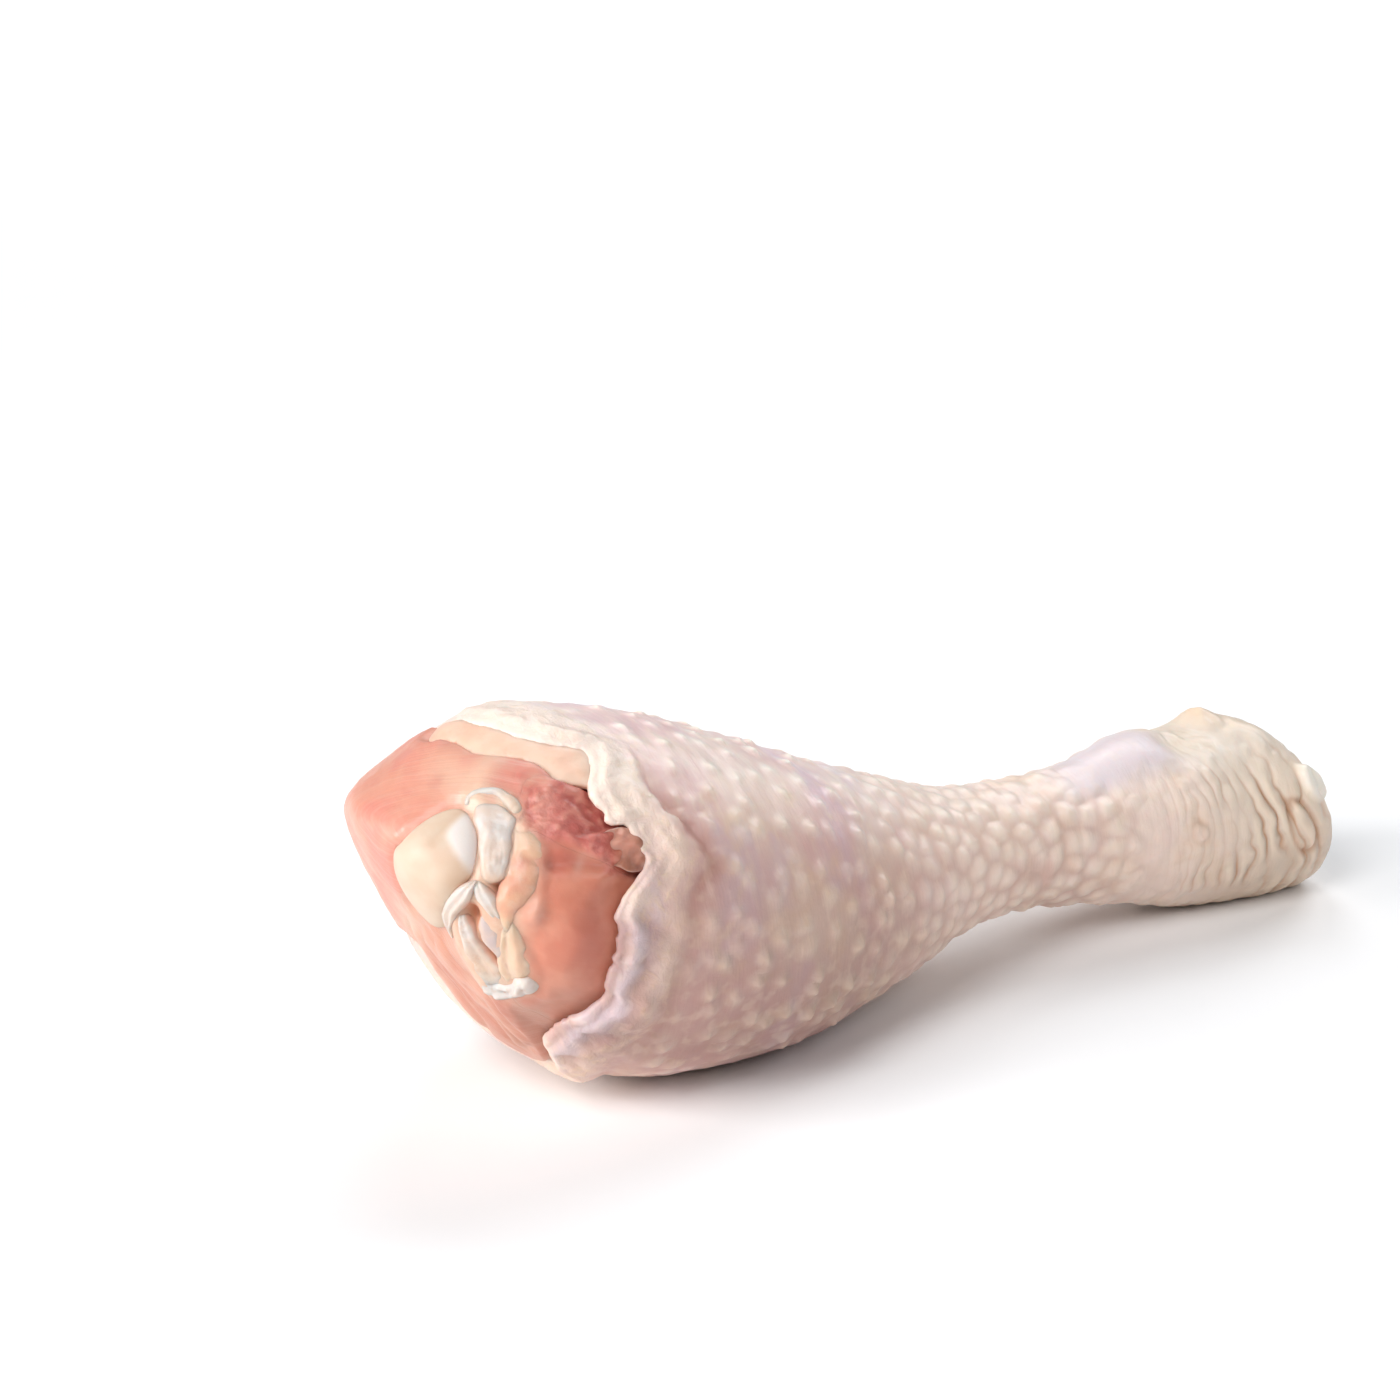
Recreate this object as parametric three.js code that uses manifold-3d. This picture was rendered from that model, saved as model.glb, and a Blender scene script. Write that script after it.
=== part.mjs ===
// A raw chicken drumstick with its skin on, lying on its side, in millimetres with +Z up.
// +X runs from the knee end, where the joint and the meat show, to the ankle end, and -Y is the front side.
//
// A place on the leg is given by two numbers. "along" starts at the bone's head, reaches KNEE_DEPTH at the
// widest ring and is the distance along the leg from there on. "angle" runs round the leg in degrees:
// 0 at the front, 90 at the top, 180 at the back. A third number is the height over the leg's plain form.

import * as THREE from 'three';
import { mergeVertices } from 'three/addons/utils/BufferGeometryUtils.js';
import Module from 'manifold-3d';

// Driving dimensions of the leg's plain form.
const KNEE_DEPTH = 26;
const KNEE_FULLNESS = 2.15; // 2 is an ellipse, more is squarer
const BONE_OFF_TIP = 27.7; // degrees from the tip of the knee end to the bone's head, towards the front
const STATIONS = [
	{ at: 0, top: 49.0, bottom: 31.5, halfWidth: 26.0, back: 5.0 },
	{ at: 12, top: 53.0, bottom: 9.4, halfWidth: 25.0, back: 3.0 },
	{ at: 26, top: 52.4, bottom: 2.2, halfWidth: 25.5, back: 0.5 },
	{ at: 42, top: 47.5, bottom: -0.6, halfWidth: 25.3, back: 0 },
	{ at: 58, top: 40.5, bottom: -0.6, halfWidth: 22.0, back: 0 },
	{ at: 74, top: 33.0, bottom: 3.0, halfWidth: 16.3, back: 0 },
	{ at: 90, top: 27.0, bottom: 7.0, halfWidth: 11.0, back: 0 },
	{ at: 102, top: 25.5, bottom: 6.8, halfWidth: 9.2, back: 0 },
	{ at: 114, top: 26.0, bottom: 4.5, halfWidth: 10.2, back: 0 },
	{ at: 126, top: 28.2, bottom: 0.6, halfWidth: 11.8, back: 0 },
	{ at: 136, top: 27.0, bottom: -1.2, halfWidth: 13.0, back: 0 },
	{ at: 146, top: 27.8, bottom: -1.4, halfWidth: 13.8, back: 0 },
	{ at: 154, top: 27.2, bottom: -0.8, halfWidth: 14.0, back: 0 },
];

// The ankle end is cut aslant: its front reaches further and its top less far. It rounds off to a mouth.
const ANKLE = { leanFrom: 108, leanTo: 150, front: 3, top: -5, roundFrom: 143, tip: 153, fullness: 2.3 };

// The skin: its thickness, the edge that it was torn to round the knee end, and where it ends at the ankle.
const SKIN = { thickness: 1.5, lip: 151, lipBulge: 0.7, edgeBulge: 0.6, meanEdge: 21, edgeFadesBy: 45 };
const SKIN_EDGE = [
	{ angle: -180, along: 17.0 },
	{ angle: -140, along: 16.5 },
	{ angle: -105, along: 18.5 },
	{ angle: -84, along: 21.5 },
	{ angle: -71, along: 20.9 },
	{ angle: -61, along: 17.9 },
	{ angle: -45, along: 17.7 },
	{ angle: -25, along: 19.9 },
	{ angle: -5, along: 20.8 },
	{ angle: 8, along: 21.8 },
	{ angle: 20, along: 22.9 },
	{ angle: 28, along: 25.8 },
	{ angle: 38, along: 26.0 },
	{ angle: 45, along: 23.7 },
	{ angle: 55, along: 23.0 },
	{ angle: 66, along: 25.2 },
	{ angle: 80, along: 22.4 },
	{ angle: 97, along: 20.4 },
	{ angle: 125, along: 19.0 },
	{ angle: 152, along: 17.8 },
];
const CUFF = { behindEdge: 6, reach: 3, rise: 1.1, centre: 5, spread: 55 };
const FOLLICLES = { rise: 0.32, startBehindEdge: 2, fullBehindEdge: 12 };
const WRINKLES = { from: 120, fullBy: 125, pitch: 2.2, rise: 0.34, centre: 5, spread: 75 };
const HOCK_BULGE = { along: 122, angle: 76, reach: 7, spread: 28, rise: 1.3 };
const TORN_FLAP = { along: 141, angle: 96, reach: 3, spread: 16, rise: 1.7 };

const GAP = 0.3; // between touching pieces
// The meat lies level with the form at the joint and sinks under the skin on its way to the torn edge.
const MEAT = { clearance: 0.4, sinksBeforeEdge: 9, clearBeforeEdge: 2 };

// The shin bone, from the cartilage on its head to the ankle.
const BONE = [
	{ x: 2.0, y: -5.8, z: 37.6, halfWidth: 7.2, halfHeight: 11 },
	{ x: 8, y: -3.4, z: 37.2, halfWidth: 7.2, halfHeight: 10.6 },
	{ x: 14, y: -1.8, z: 36, halfWidth: 6.3, halfHeight: 8.2 },
	{ x: 26, y: -0.8, z: 32.5, halfWidth: 4.6, halfHeight: 5 },
	{ x: 45, y: 0, z: 24.5, halfWidth: 3.6, halfHeight: 3.8 },
	{ x: 90, y: 0, z: 17, halfWidth: 3.3, halfHeight: 3.5 },
	{ x: 125, y: 0, z: 14.2, halfWidth: 4.6, halfHeight: 4.8 },
	{ x: 149.5, y: -0.5, z: 13.4, halfWidth: 6.6, halfHeight: 6.2 },
];
const BONE_CAP = { length: 5.5, fullness: 2.6, leastSize: 0.02 }; // how each end of the bone rounds off
const BONE_TILT = -22; // degrees that the head's long side leans to the front at its top

// The muscles lie round the bone, each from one seam to the next. A seam is an angle at each distance along.
// Their inner sides lie inside the bone, a share of the way out from a core line that joins it.
const SEAM_GAP = 0.8;
const SEAM_GROOVE = { depth: 0.9, reach: 1.8 };
const CORE = { share: 0.12, joinsBoneBy: 20, corners: [0.8, 0.5, 0.2] };
const SEAM_SHIN_RED = [{ at: 0, angle: 67 }, { at: 150, angle: 67 }];
const SEAM_RED_CALF = [
	{ at: 0, angle: 54 },
	{ at: 14, angle: 54 },
	{ at: 17.4, angle: 43 },
	{ at: 20.8, angle: 33 },
	{ at: 25, angle: 27 },
	{ at: 150, angle: 22 },
];
const SEAM_CALF_UNDER = [{ at: 0, angle: -53 }, { at: 150, angle: -53 }];
const SEAM_UNDER_SHIN = [{ at: 0, angle: -128 }, { at: 150, angle: -128 }];

// The soft pieces on the knee end, as paths over a flat map of it: right is the front, up is the top, and
// the bone's head is at 0, 0. Each has half its width, half its thickness and the height of its middle.
const MENISCUS = {
	path: [[7.2, 5], [5.6, 9.4], [3.4, 13.9]],
	halfWidth: 2.6,
	halfThickness: 2.2,
	height: -0.6,
	fullness: 4,
};
const LIGAMENT_INNER = {
	path: [[-1.3, -10], [-0.1, -7.5], [2.1, -3.6], [4.6, 2.6]],
	halfWidth: 1.1,
	halfThickness: 1,
	height: 1.1,
	fullness: 6,
};
const LIGAMENT_OUTER = {
	path: [[4.9, 2.2], [6.1, 1.1], [7.3, -0.6], [8, -3.1]],
	halfWidth: 1,
	halfThickness: 0.9,
	height: 0.4,
	fullness: 6,
};
const CARTILAGE_RING = {
	path: [[1.9, -6.2], [1.3, -8.6], [1.9, -10.8], [4.4, -11.1], [7.8, -9.7], [11.4, -6.9]],
	halfWidth: 1.2,
	halfThickness: 1.1,
	height: 0.3,
	fullness: 5,
};
const CARTILAGE_CAP = {
	path: [[5.4, -2.4], [6.1, -5], [5.4, -8.4]],
	halfWidth: 2.1,
	halfThickness: 1.3,
	height: -0.3,
	fullness: 3,
};
const TENDON = {
	path: [
		[7.4, 12.7], [9.6, 12.3], [11.5, 10.8], [12.1, 8.8],
		[11, 6.9], [9.7, 4.6], [8.9, 1.2], [8.9, -2.4], [9, -6],
	],
	halfWidth: 1.7,
	halfThickness: 1.5,
	height: 0,
	fullness: 5,
};
const GRISTLE = {
	path: [[17.9, 12.4], [20, 13.6], [21.8, 14.2]],
	halfWidth: 2.6,
	halfThickness: 1.1,
	height: -1.2,
	fullness: 3,
};

// The fat under the top edge of the skin: its lower edge and its upper one, which lies under the skin.
const FAT_EDGES = [
	{ angle: 128, from: 17.4, to: 20.4 },
	{ angle: 106, from: 17.0, to: 23.0 },
	{ angle: 92, from: 17.5, to: 23.5 },
	{ angle: 81, from: 19.1, to: 25.0 },
	{ angle: 72, from: 19.9, to: 27.0 },
	{ angle: 64, from: 21.1, to: 27.5 },
	{ angle: 57, from: 23.0, to: 26.0 },
];
const FAT = { halfThickness: 1.4, height: -1.5, fullness: 3 };

// Fineness of the meshes. The meat and the skin's inside share the rows along the leg, so that their flat
// facets stay clear of each other.
const SKIN_COLUMNS = 44;
const SKIN_ROWS = { edge: 8, leg: 24, hock: 20, lip: 4 };
const EDGE_ROWS = [22.2, 24, 26.5];
const KNEE_ROWS = [0.5, 3, 5.5, 8, 11, 14, 17, 20, 23, 26.5];
const LEG_ROWS = [30, 38, 48, 60, 74, 88, 102, 117, 132, 141, 145.5];
const LIP_ROWS = [149, 151];
const CAP_ROWS = [0, 0.03, 0.1, 0.25, 0.5, 0.75]; // shares of the bone's cap
const SHAFT_ROWS = [6.5, 10, 15, 20, 26, 34, 44, 60, 80, 100, 115, 128, 140];
const FAT_STEPS = 17;
const STRAND_SIDES = { bone: 12, fat: 10, kneePiece: 8 };
const FINEST = 0.05; // smaller steps in a cut surface are smoothed away
const DEGREE = Math.PI / 180;

const wasm = await Module();
wasm.setup();

// Smooth curve through a table's values. On each span it is the cubic whose slope at either end is that of
// the line between the neighbouring values.
function through(table, key, value, at) {
	const last = table.length - 1;
	const x = THREE.MathUtils.clamp(at, table[0][key], table[last][key]);
	let i = 0;
	while (i < last - 1 && x > table[i + 1][key]) i++;
	const slope = (k) => {
		const a = table[Math.max(k - 1, 0)];
		const b = table[Math.min(k + 1, last)];
		return (b[value] - a[value]) / (b[key] - a[key]);
	};
	const from = table[i];
	const to = table[i + 1];
	const span = to[key] - from[key];
	const t = (x - from[key]) / span;
	const rise = to[value] - from[value];
	const s0 = slope(i) * span;
	const s1 = slope(i + 1) * span;
	return from[value] + t * (s0 + t * (3 * rise - 2 * s0 - s1 + t * (s0 + s1 - 2 * rise)));
}

// The same through a table of angles that closes on itself round the leg.
function roundThrough(table, value, angle) {
	const turn = (row, by) => ({ ...row, angle: row.angle + by });
	const wrapped = [turn(table.at(-1), -360), ...table, turn(table[0], 360), turn(table[1], 360)];
	return through(wrapped, 'angle', value, turnedInto(angle));
}

function turnedInto(angle) {
	return THREE.MathUtils.euclideanModulo(angle + 180, 360) - 180;
}

// A bump that is 1 in the middle and fades out over the given reach.
function bell(distance, reach) {
	return Math.exp(-((distance / reach) ** 2));
}

function angleBell(angle, centre, spread) {
	return bell(turnedInto(angle - centre), spread);
}

// A point of the leg's plain form. On the knee end, a direction swings from the bone's head to the widest
// ring, and the direction's place on a squarish dome gives the point.
function formPoint(along, angle) {
	const round = angle * DEGREE;
	let x = along;
	let size = 1;
	let side = round;
	if (along < KNEE_DEPTH) {
		const head = new THREE.Vector3(Math.cos(BONE_OFF_TIP * DEGREE), Math.sin(BONE_OFF_TIP * DEGREE), 0);
		const ring = new THREE.Vector3(0, Math.cos(round), Math.sin(round));
		const swing = head.angleTo(ring);
		const share = along / KNEE_DEPTH;
		const towards = head.multiplyScalar(Math.sin((1 - share) * swing) / Math.sin(swing));
		towards.addScaledVector(ring, Math.sin(share * swing) / Math.sin(swing));
		x = KNEE_DEPTH * (1 - Math.max(towards.x, 0) ** (2 / KNEE_FULLNESS));
		size = Math.hypot(towards.y, towards.z) ** (2 / KNEE_FULLNESS);
		side = Math.atan2(towards.z, towards.y);
	}
	const rounding = THREE.MathUtils.clamp((along - ANKLE.roundFrom) / (ANKLE.tip - ANKLE.roundFrom), 0, 1);
	const closing = (1 - rounding ** ANKLE.fullness) ** (1 / ANKLE.fullness);
	const lean = THREE.MathUtils.smoothstep(along, ANKLE.leanFrom, ANKLE.leanTo) * closing;
	const top = through(STATIONS, 'at', 'top', x);
	const bottom = through(STATIONS, 'at', 'bottom', x);
	const halfWidth = through(STATIONS, 'at', 'halfWidth', x) * size * closing;
	const halfHeight = ((top - bottom) / 2) * size * closing;
	return new THREE.Vector3(
		x + lean * (ANKLE.front * Math.cos(side) + ANKLE.top * Math.sin(side)),
		through(STATIONS, 'at', 'back', x) - halfWidth * Math.cos(side),
		(top + bottom) / 2 + halfHeight * Math.sin(side),
	);
}

// The outward direction there, square to the two lines of the form that cross in the point.
function formNormal(along, angle) {
	const step = 0.05;
	const near = Math.max(along, 0.3);
	const lengthwise = formPoint(near + step, angle).sub(formPoint(near - step, angle));
	const crosswise = formPoint(near, angle + 1).sub(formPoint(near, angle - 1));
	return lengthwise.cross(crosswise).normalize();
}

// A point at a height over the form. The leg rests on flat spots where its form would sink below z = 0,
// and a layer under the surface stays as far above them as it lies deep.
function legPoint(along, angle, height) {
	const point = formPoint(along, angle).addScaledVector(formNormal(along, angle), height);
	point.z = Math.max(point.z, Math.max(-height, 0));
	return point;
}

// A closed solid from rings of points, with the sides between them. The first and last ring are joined to
// each other, or else each is closed by a fan to its middle.
function solidFromRings(rings, joined) {
	const around = rings[0].length;
	const positions = rings.flat().flatMap((p) => p.toArray());
	const faces = [];
	const spot = (i, j) => (i % rings.length) * around + (j % around);
	const spans = joined ? rings.length : rings.length - 1;
	for (let i = 0; i < spans; i++) {
		for (let j = 0; j < around; j++) {
			faces.push(spot(i, j), spot(i + 1, j), spot(i + 1, j + 1));
			faces.push(spot(i, j), spot(i + 1, j + 1), spot(i, j + 1));
		}
	}
	if (!joined) {
		for (const [row, first] of [[0, true], [rings.length - 1, false]]) {
			const middle = rings[row].reduce((sum, p) => sum.add(p), new THREE.Vector3()).divideScalar(around);
			const centre = positions.length / 3;
			positions.push(...middle.toArray());
			for (let j = 0; j < around; j++) {
				const edge = [spot(row, j), spot(row, j + 1)];
				if (!first) edge.reverse();
				faces.push(centre, ...edge);
			}
		}
	}
	const geometry = new THREE.BufferGeometry();
	geometry.setAttribute('position', new THREE.Float32BufferAttribute(positions, 3));
	geometry.setIndex(faces);
	return toSolid(geometry);
}

function toSolid(geometry) {
	const merged = mergeVertices(geometry, 1e-4);
	const vertProperties = new Float32Array(merged.attributes.position.array);
	const triVerts = new Uint32Array(merged.index.array);
	return new wasm.Manifold(new wasm.Mesh({ numProp: 3, vertProperties, triVerts }));
}

function toGeometry(solid) {
	const { vertProperties, triVerts } = solid.getMesh();
	const geometry = new THREE.BufferGeometry();
	geometry.setAttribute('position', new THREE.Float32BufferAttribute(vertProperties, 3));
	geometry.setIndex(new THREE.Uint32BufferAttribute(triVerts, 1));
	geometry.computeVertexNormals();
	return geometry;
}

// A cord or lump along a centre line: an oval ring at each step, which narrows to a point at both ends.
// Each step has its centre, the direction away from the leg, half its width and half its thickness.
function strand(steps, around) {
	const rings = steps.map((step, i) => {
		const before = steps[Math.max(i - 1, 0)].centre;
		const after = steps[Math.min(i + 1, steps.length - 1)].centre;
		const ahead = new THREE.Vector3().subVectors(after, before).normalize();
		const up = step.up.clone().addScaledVector(ahead, -step.up.dot(ahead)).normalize();
		const side = new THREE.Vector3().crossVectors(ahead, up);
		return Array.from({ length: around }, (_, j) => {
			const turn = (2 * Math.PI * j) / around;
			return step.centre
				.clone()
				.addScaledVector(side, step.halfWidth * Math.cos(turn))
				.addScaledVector(up, step.halfThickness * Math.sin(turn));
		});
	});
	return solidFromRings(rings, false);
}

// Even steps from 0 to 1 that crowd together at both ends, where a strand rounds off.
function crowdedSteps(count) {
	return Array.from({ length: count }, (_, i) => 0.5 - 0.499 * Math.cos((Math.PI * i) / (count - 1)));
}

function roundedOff(share, fullness) {
	return (1 - Math.abs(2 * share - 1) ** fullness) ** (1 / fullness);
}

// A maker for a piece on the knee end, along a path over the flat map.
function kneePiece(piece, count) {
	const curve = new THREE.CatmullRomCurve3(piece.path.map(([right, up]) => new THREE.Vector3(right, up, 0)));
	const stepAt = (share, grow) => {
		const spot = curve.getPointAt(share);
		const along = Math.hypot(spot.x, spot.y);
		const angle = Math.atan2(spot.y, spot.x) / DEGREE;
		const size = roundedOff(share, piece.fullness);
		return {
			centre: legPoint(along, angle, piece.height),
			up: formNormal(along, angle),
			halfWidth: (piece.halfWidth + grow) * size,
			halfThickness: (piece.halfThickness + grow) * size,
		};
	};
	return (grow) => strand(crowdedSteps(count).map((share) => stepAt(share, grow)), STRAND_SIDES.kneePiece);
}

// The fat lies across the leg's top, between its two edges.
function fatPad(grow) {
	const first = FAT_EDGES[0].angle;
	const last = FAT_EDGES.at(-1).angle;
	const byAngle = FAT_EDGES.map((row) => ({ ...row, turned: first - row.angle }));
	const steps = crowdedSteps(FAT_STEPS).map((share) => {
		const turned = share * (first - last);
		const from = through(byAngle, 'turned', 'from', turned);
		const to = through(byAngle, 'turned', 'to', turned);
		const size = roundedOff(share, FAT.fullness);
		return {
			centre: legPoint((from + to) / 2, first - turned, FAT.height),
			up: formNormal((from + to) / 2, first - turned),
			halfWidth: ((to - from) / 2 + grow) * size,
			halfThickness: (FAT.halfThickness + grow) * size,
		};
	});
	return strand(steps, STRAND_SIDES.fat);
}

function shinBone(grow) {
	const table = [];
	let length = 0;
	BONE.forEach((row, i) => {
		const before = BONE[Math.max(i - 1, 0)];
		length += Math.hypot(row.x - before.x, row.y - before.y, row.z - before.z);
		table.push({ ...row, length });
	});
	const value = (key, at) => through(table, 'length', key, at);
	const marks = [
		...CAP_ROWS.map((share) => share * BONE_CAP.length),
		...SHAFT_ROWS,
		...CAP_ROWS.map((share) => length - share * BONE_CAP.length).reverse(),
	];
	const steps = marks.map((at) => {
		const outOfShaft = Math.max(1 - Math.min(at, length - at) / BONE_CAP.length, 0);
		const cap = (1 - outOfShaft ** BONE_CAP.fullness) ** (1 / BONE_CAP.fullness);
		const size = Math.max(cap, BONE_CAP.leastSize);
		return {
			centre: new THREE.Vector3(value('x', at), value('y', at), value('z', at)),
			up: new THREE.Vector3(0, Math.sin(BONE_TILT * DEGREE), Math.cos(BONE_TILT * DEGREE)),
			halfWidth: (value('halfWidth', at) + grow) * size,
			halfThickness: (value('halfHeight', at) + grow) * size,
		};
	});
	const cap = CAP_ROWS.length;
	const knee = new THREE.Vector3().subVectors(steps[0].centre, steps[cap].centre).normalize();
	const ankle = new THREE.Vector3().subVectors(steps.at(-1).centre, steps.at(-1 - cap).centre).normalize();
	steps.forEach((step, i) => {
		step.centre.addScaledVector(knee, grow * Math.max(1 - marks[i] / BONE_CAP.length, 0));
		step.centre.addScaledVector(ankle, grow * Math.max(1 - (length - marks[i]) / BONE_CAP.length, 0));
	});
	return strand(steps, STRAND_SIDES.bone);
}

// The line that the muscles lie round: it starts at the head's spot on the surface and joins the bone.
function meatCore(along) {
	const x = formPoint(along, 0).x;
	const head = formPoint(0, 0);
	const inBone = THREE.MathUtils.smoothstep(along, 0, CORE.joinsBoneBy);
	const y = THREE.MathUtils.lerp(head.y, through(BONE, 'x', 'y', x), inBone);
	const z = THREE.MathUtils.lerp(head.z, through(BONE, 'x', 'z', x), inBone);
	return new THREE.Vector3(x, y, z);
}

// How far the skin's surface stands over the plain form: the thick cuff behind the torn edge, the bumps
// that the feathers left, the creases and the bulge at the hock, and the torn flap over it.
function skinRise(along, angle, edge, row, column) {
	const behind = along - edge;
	const cuff = CUFF.rise * bell(behind - CUFF.behindEdge, CUFF.reach)
		* angleBell(angle, CUFF.centre, CUFF.spread);
	const inWrinkles = THREE.MathUtils.smoothstep(along, WRINKLES.from, WRINKLES.fullBy);
	const creases = WRINKLES.rise * inWrinkles * angleBell(angle, WRINKLES.centre, WRINKLES.spread);
	const wave = Math.cos((2 * Math.PI * (along - WRINKLES.from)) / WRINKLES.pitch);
	const inBumps = THREE.MathUtils.smoothstep(behind, FOLLICLES.startBehindEdge, FOLLICLES.fullBehindEdge);
	const bumps = FOLLICLES.rise * inBumps * (1 - inWrinkles);
	const bulge = HOCK_BULGE.rise * bell(along - HOCK_BULGE.along, HOCK_BULGE.reach)
		* angleBell(angle, HOCK_BULGE.angle, HOCK_BULGE.spread);
	const flap = TORN_FLAP.rise * bell(along - TORN_FLAP.along, TORN_FLAP.reach)
		* angleBell(angle, TORN_FLAP.angle, TORN_FLAP.spread);
	return cuff + creases * wave + bumps * ((row + column) % 2) + bulge + flap;
}

// Rows of the skin's outside, from its edge to the lip at the ankle, given for the mean edge.
function skinRows() {
	const { edge, leg, hock, lip } = SKIN_ROWS;
	const run = (from, to, count) => Array.from({ length: count }, (_, i) => from + ((to - from) * i) / count);
	const creasesEnd = WRINKLES.from + (hock * WRINKLES.pitch) / 2;
	return [
		...run(SKIN.meanEdge, SKIN.edgeFadesBy, edge),
		...run(SKIN.edgeFadesBy, WRINKLES.from, leg),
		...run(WRINKLES.from, creasesEnd, hock),
		...run(creasesEnd, SKIN.lip, lip),
		SKIN.lip,
	];
}

// The skin is a sleeve: outside, lip, inside and edge are one loop of rows that closes on itself.
function skinSleeve(grow) {
	const depth = SKIN.thickness + grow;
	const rows = skinRows();
	const start = SKIN.meanEdge - grow;
	const place = (row, edge) => {
		const faded = THREE.MathUtils.smoothstep(row, start, SKIN.edgeFadesBy);
		return row + (edge - SKIN.meanEdge) * (1 - faded);
	};
	const loop = (angle, column) => {
		const edge = roundThrough(SKIN_EDGE, 'along', angle) - grow;
		const outside = rows.map((row, i) => {
			const along = place(row, edge);
			return legPoint(along, angle, grow + skinRise(along, angle, edge, i, column));
		});
		const mouth = legPoint(SKIN.lip + SKIN.lipBulge, angle, -depth / 2);
		const insideRows = [start, ...EDGE_ROWS, ...LEG_ROWS, ...LIP_ROWS].reverse();
		const inside = insideRows.map((row) => legPoint(place(row, edge), angle, -depth));
		const hem = legPoint(edge - SKIN.edgeBulge, angle, -depth / 2);
		return [...outside, mouth, ...inside, hem];
	};
	const columns = Array.from({ length: SKIN_COLUMNS }, (_, j) => loop((360 * j) / SKIN_COLUMNS - 180, j));
	const rings = columns[0].map((_, i) => columns.map((column) => column[i]));
	return solidFromRings(rings, true);
}

// How deep the meat's surface lies: level with the form at the joint, and clear of the skin under it.
function meatHeight(along, angle) {
	const edge = roundThrough(SKIN_EDGE, 'along', angle);
	const sunk = THREE.MathUtils.smoothstep(along, edge - MEAT.sinksBeforeEdge, edge - MEAT.clearBeforeEdge);
	return -(SKIN.thickness + MEAT.clearance) * sunk;
}

// A muscle runs the length of the leg between two seams: an arc under the skin and a short one by the bone.
function muscle(seamFrom, seamTo, arcSteps) {
	const rings = [...KNEE_ROWS, ...LEG_ROWS].map((along) => {
		const from = through(seamFrom, 'at', 'angle', along);
		const to = through(seamTo, 'at', 'angle', along);
		const span = to < from ? to - from + 360 : to - from;
		const centre = meatCore(along);
		const radius = (angle) => Math.max(formPoint(along, angle).distanceTo(centre), 1);
		const inset = (angle) => SEAM_GAP / 2 / radius(angle) / DEGREE;
		const first = from + inset(from);
		const last = from + span - inset(to);
		const arc = Array.from({ length: arcSteps + 1 }, (_, j) => {
			const angle = first + ((last - first) * j) / arcSteps;
			const turns = [(angle - from) * radius(from), (from + span - angle) * radius(to)];
			const fromSeam = Math.min(...turns) * DEGREE;
			const fullness = Math.min(along / KNEE_DEPTH, 1);
			const groove = SEAM_GROOVE.depth * bell(fromSeam, SEAM_GROOVE.reach) * fullness;
			return legPoint(along, angle, meatHeight(along, angle) - groove);
		});
		const core = CORE.corners.map((share) => {
			const rim = arc[Math.round(share * arcSteps)];
			return new THREE.Vector3().lerpVectors(centre, rim, CORE.share);
		});
		return [...arc, ...core];
	});
	return solidFromRings(rings, false);
}

// Cuts away what lies in the neighbours, each grown by the gap, and keeps the largest body that is left.
function fitted(solid, neighbours) {
	const cut = neighbours.reduce((left, neighbour) => left.subtract(neighbour), solid).simplify(FINEST);
	return cut.decompose().reduce((best, body) => (body.volume() > best.volume() ? body : best));
}

function mesh({ name, color, roughness }, solid) {
	const material = new THREE.MeshStandardMaterial({ color, roughness, metalness: 0 });
	const piece = new THREE.Mesh(toGeometry(solid), material);
	piece.name = name;
	return piece;
}

// The pieces, in the order in which each gives way to the ones before it. The muscles give way to all but
// the skin, which they lie clear of.
const hardPieces = [
	{ name: 'skin', color: 0xd9bdb3, roughness: 0.5, make: skinSleeve },
	{ name: 'shin_bone', color: 0xf4e8d6, roughness: 0.4, make: shinBone },
	{ name: 'meniscus', color: 0xf1e7e3, roughness: 0.35, make: kneePiece(MENISCUS, 11) },
	{ name: 'ligament_inner', color: 0xf1e7e6, roughness: 0.35, make: kneePiece(LIGAMENT_INNER, 11) },
	{ name: 'ligament_outer', color: 0xede1d9, roughness: 0.35, make: kneePiece(LIGAMENT_OUTER, 11) },
	{ name: 'cartilage_ring', color: 0xedd2c2, roughness: 0.35, make: kneePiece(CARTILAGE_RING, 15) },
	{ name: 'cartilage_cap', color: 0xdcc8c4, roughness: 0.35, make: kneePiece(CARTILAGE_CAP, 11) },
	{ name: 'tendon', color: 0xeabea4, roughness: 0.35, make: kneePiece(TENDON, 19) },
	{ name: 'gristle', color: 0xbc7e6a, roughness: 0.35, make: kneePiece(GRISTLE, 11) },
	{ name: 'fat_pad', color: 0xf1dac5, roughness: 0.45, make: fatPad },
];
const muscles = [
	{ name: 'shin_muscle', color: 0xf0b4a2, roughness: 0.4, solid: muscle(SEAM_SHIN_RED, SEAM_UNDER_SHIN, 16) },
	{ name: 'red_muscle', color: 0xbe6e62, roughness: 0.45, solid: muscle(SEAM_RED_CALF, SEAM_SHIN_RED, 4) },
	{ name: 'calf_muscle', color: 0xbd7566, roughness: 0.4, solid: muscle(SEAM_CALF_UNDER, SEAM_RED_CALF, 7) },
	{ name: 'under_muscle', color: 0xe0a896, roughness: 0.4, solid: muscle(SEAM_UNDER_SHIN, SEAM_CALF_UNDER, 6) },
];

const drumstick = new THREE.Group();
const grown = hardPieces.map((piece) => piece.make(GAP));
hardPieces.forEach((piece, i) => {
	drumstick.add(mesh(piece, fitted(piece.make(0), grown.slice(0, i))));
});
muscles.forEach((piece) => {
	drumstick.add(mesh(piece, fitted(piece.solid, grown.slice(1))));
});

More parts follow.
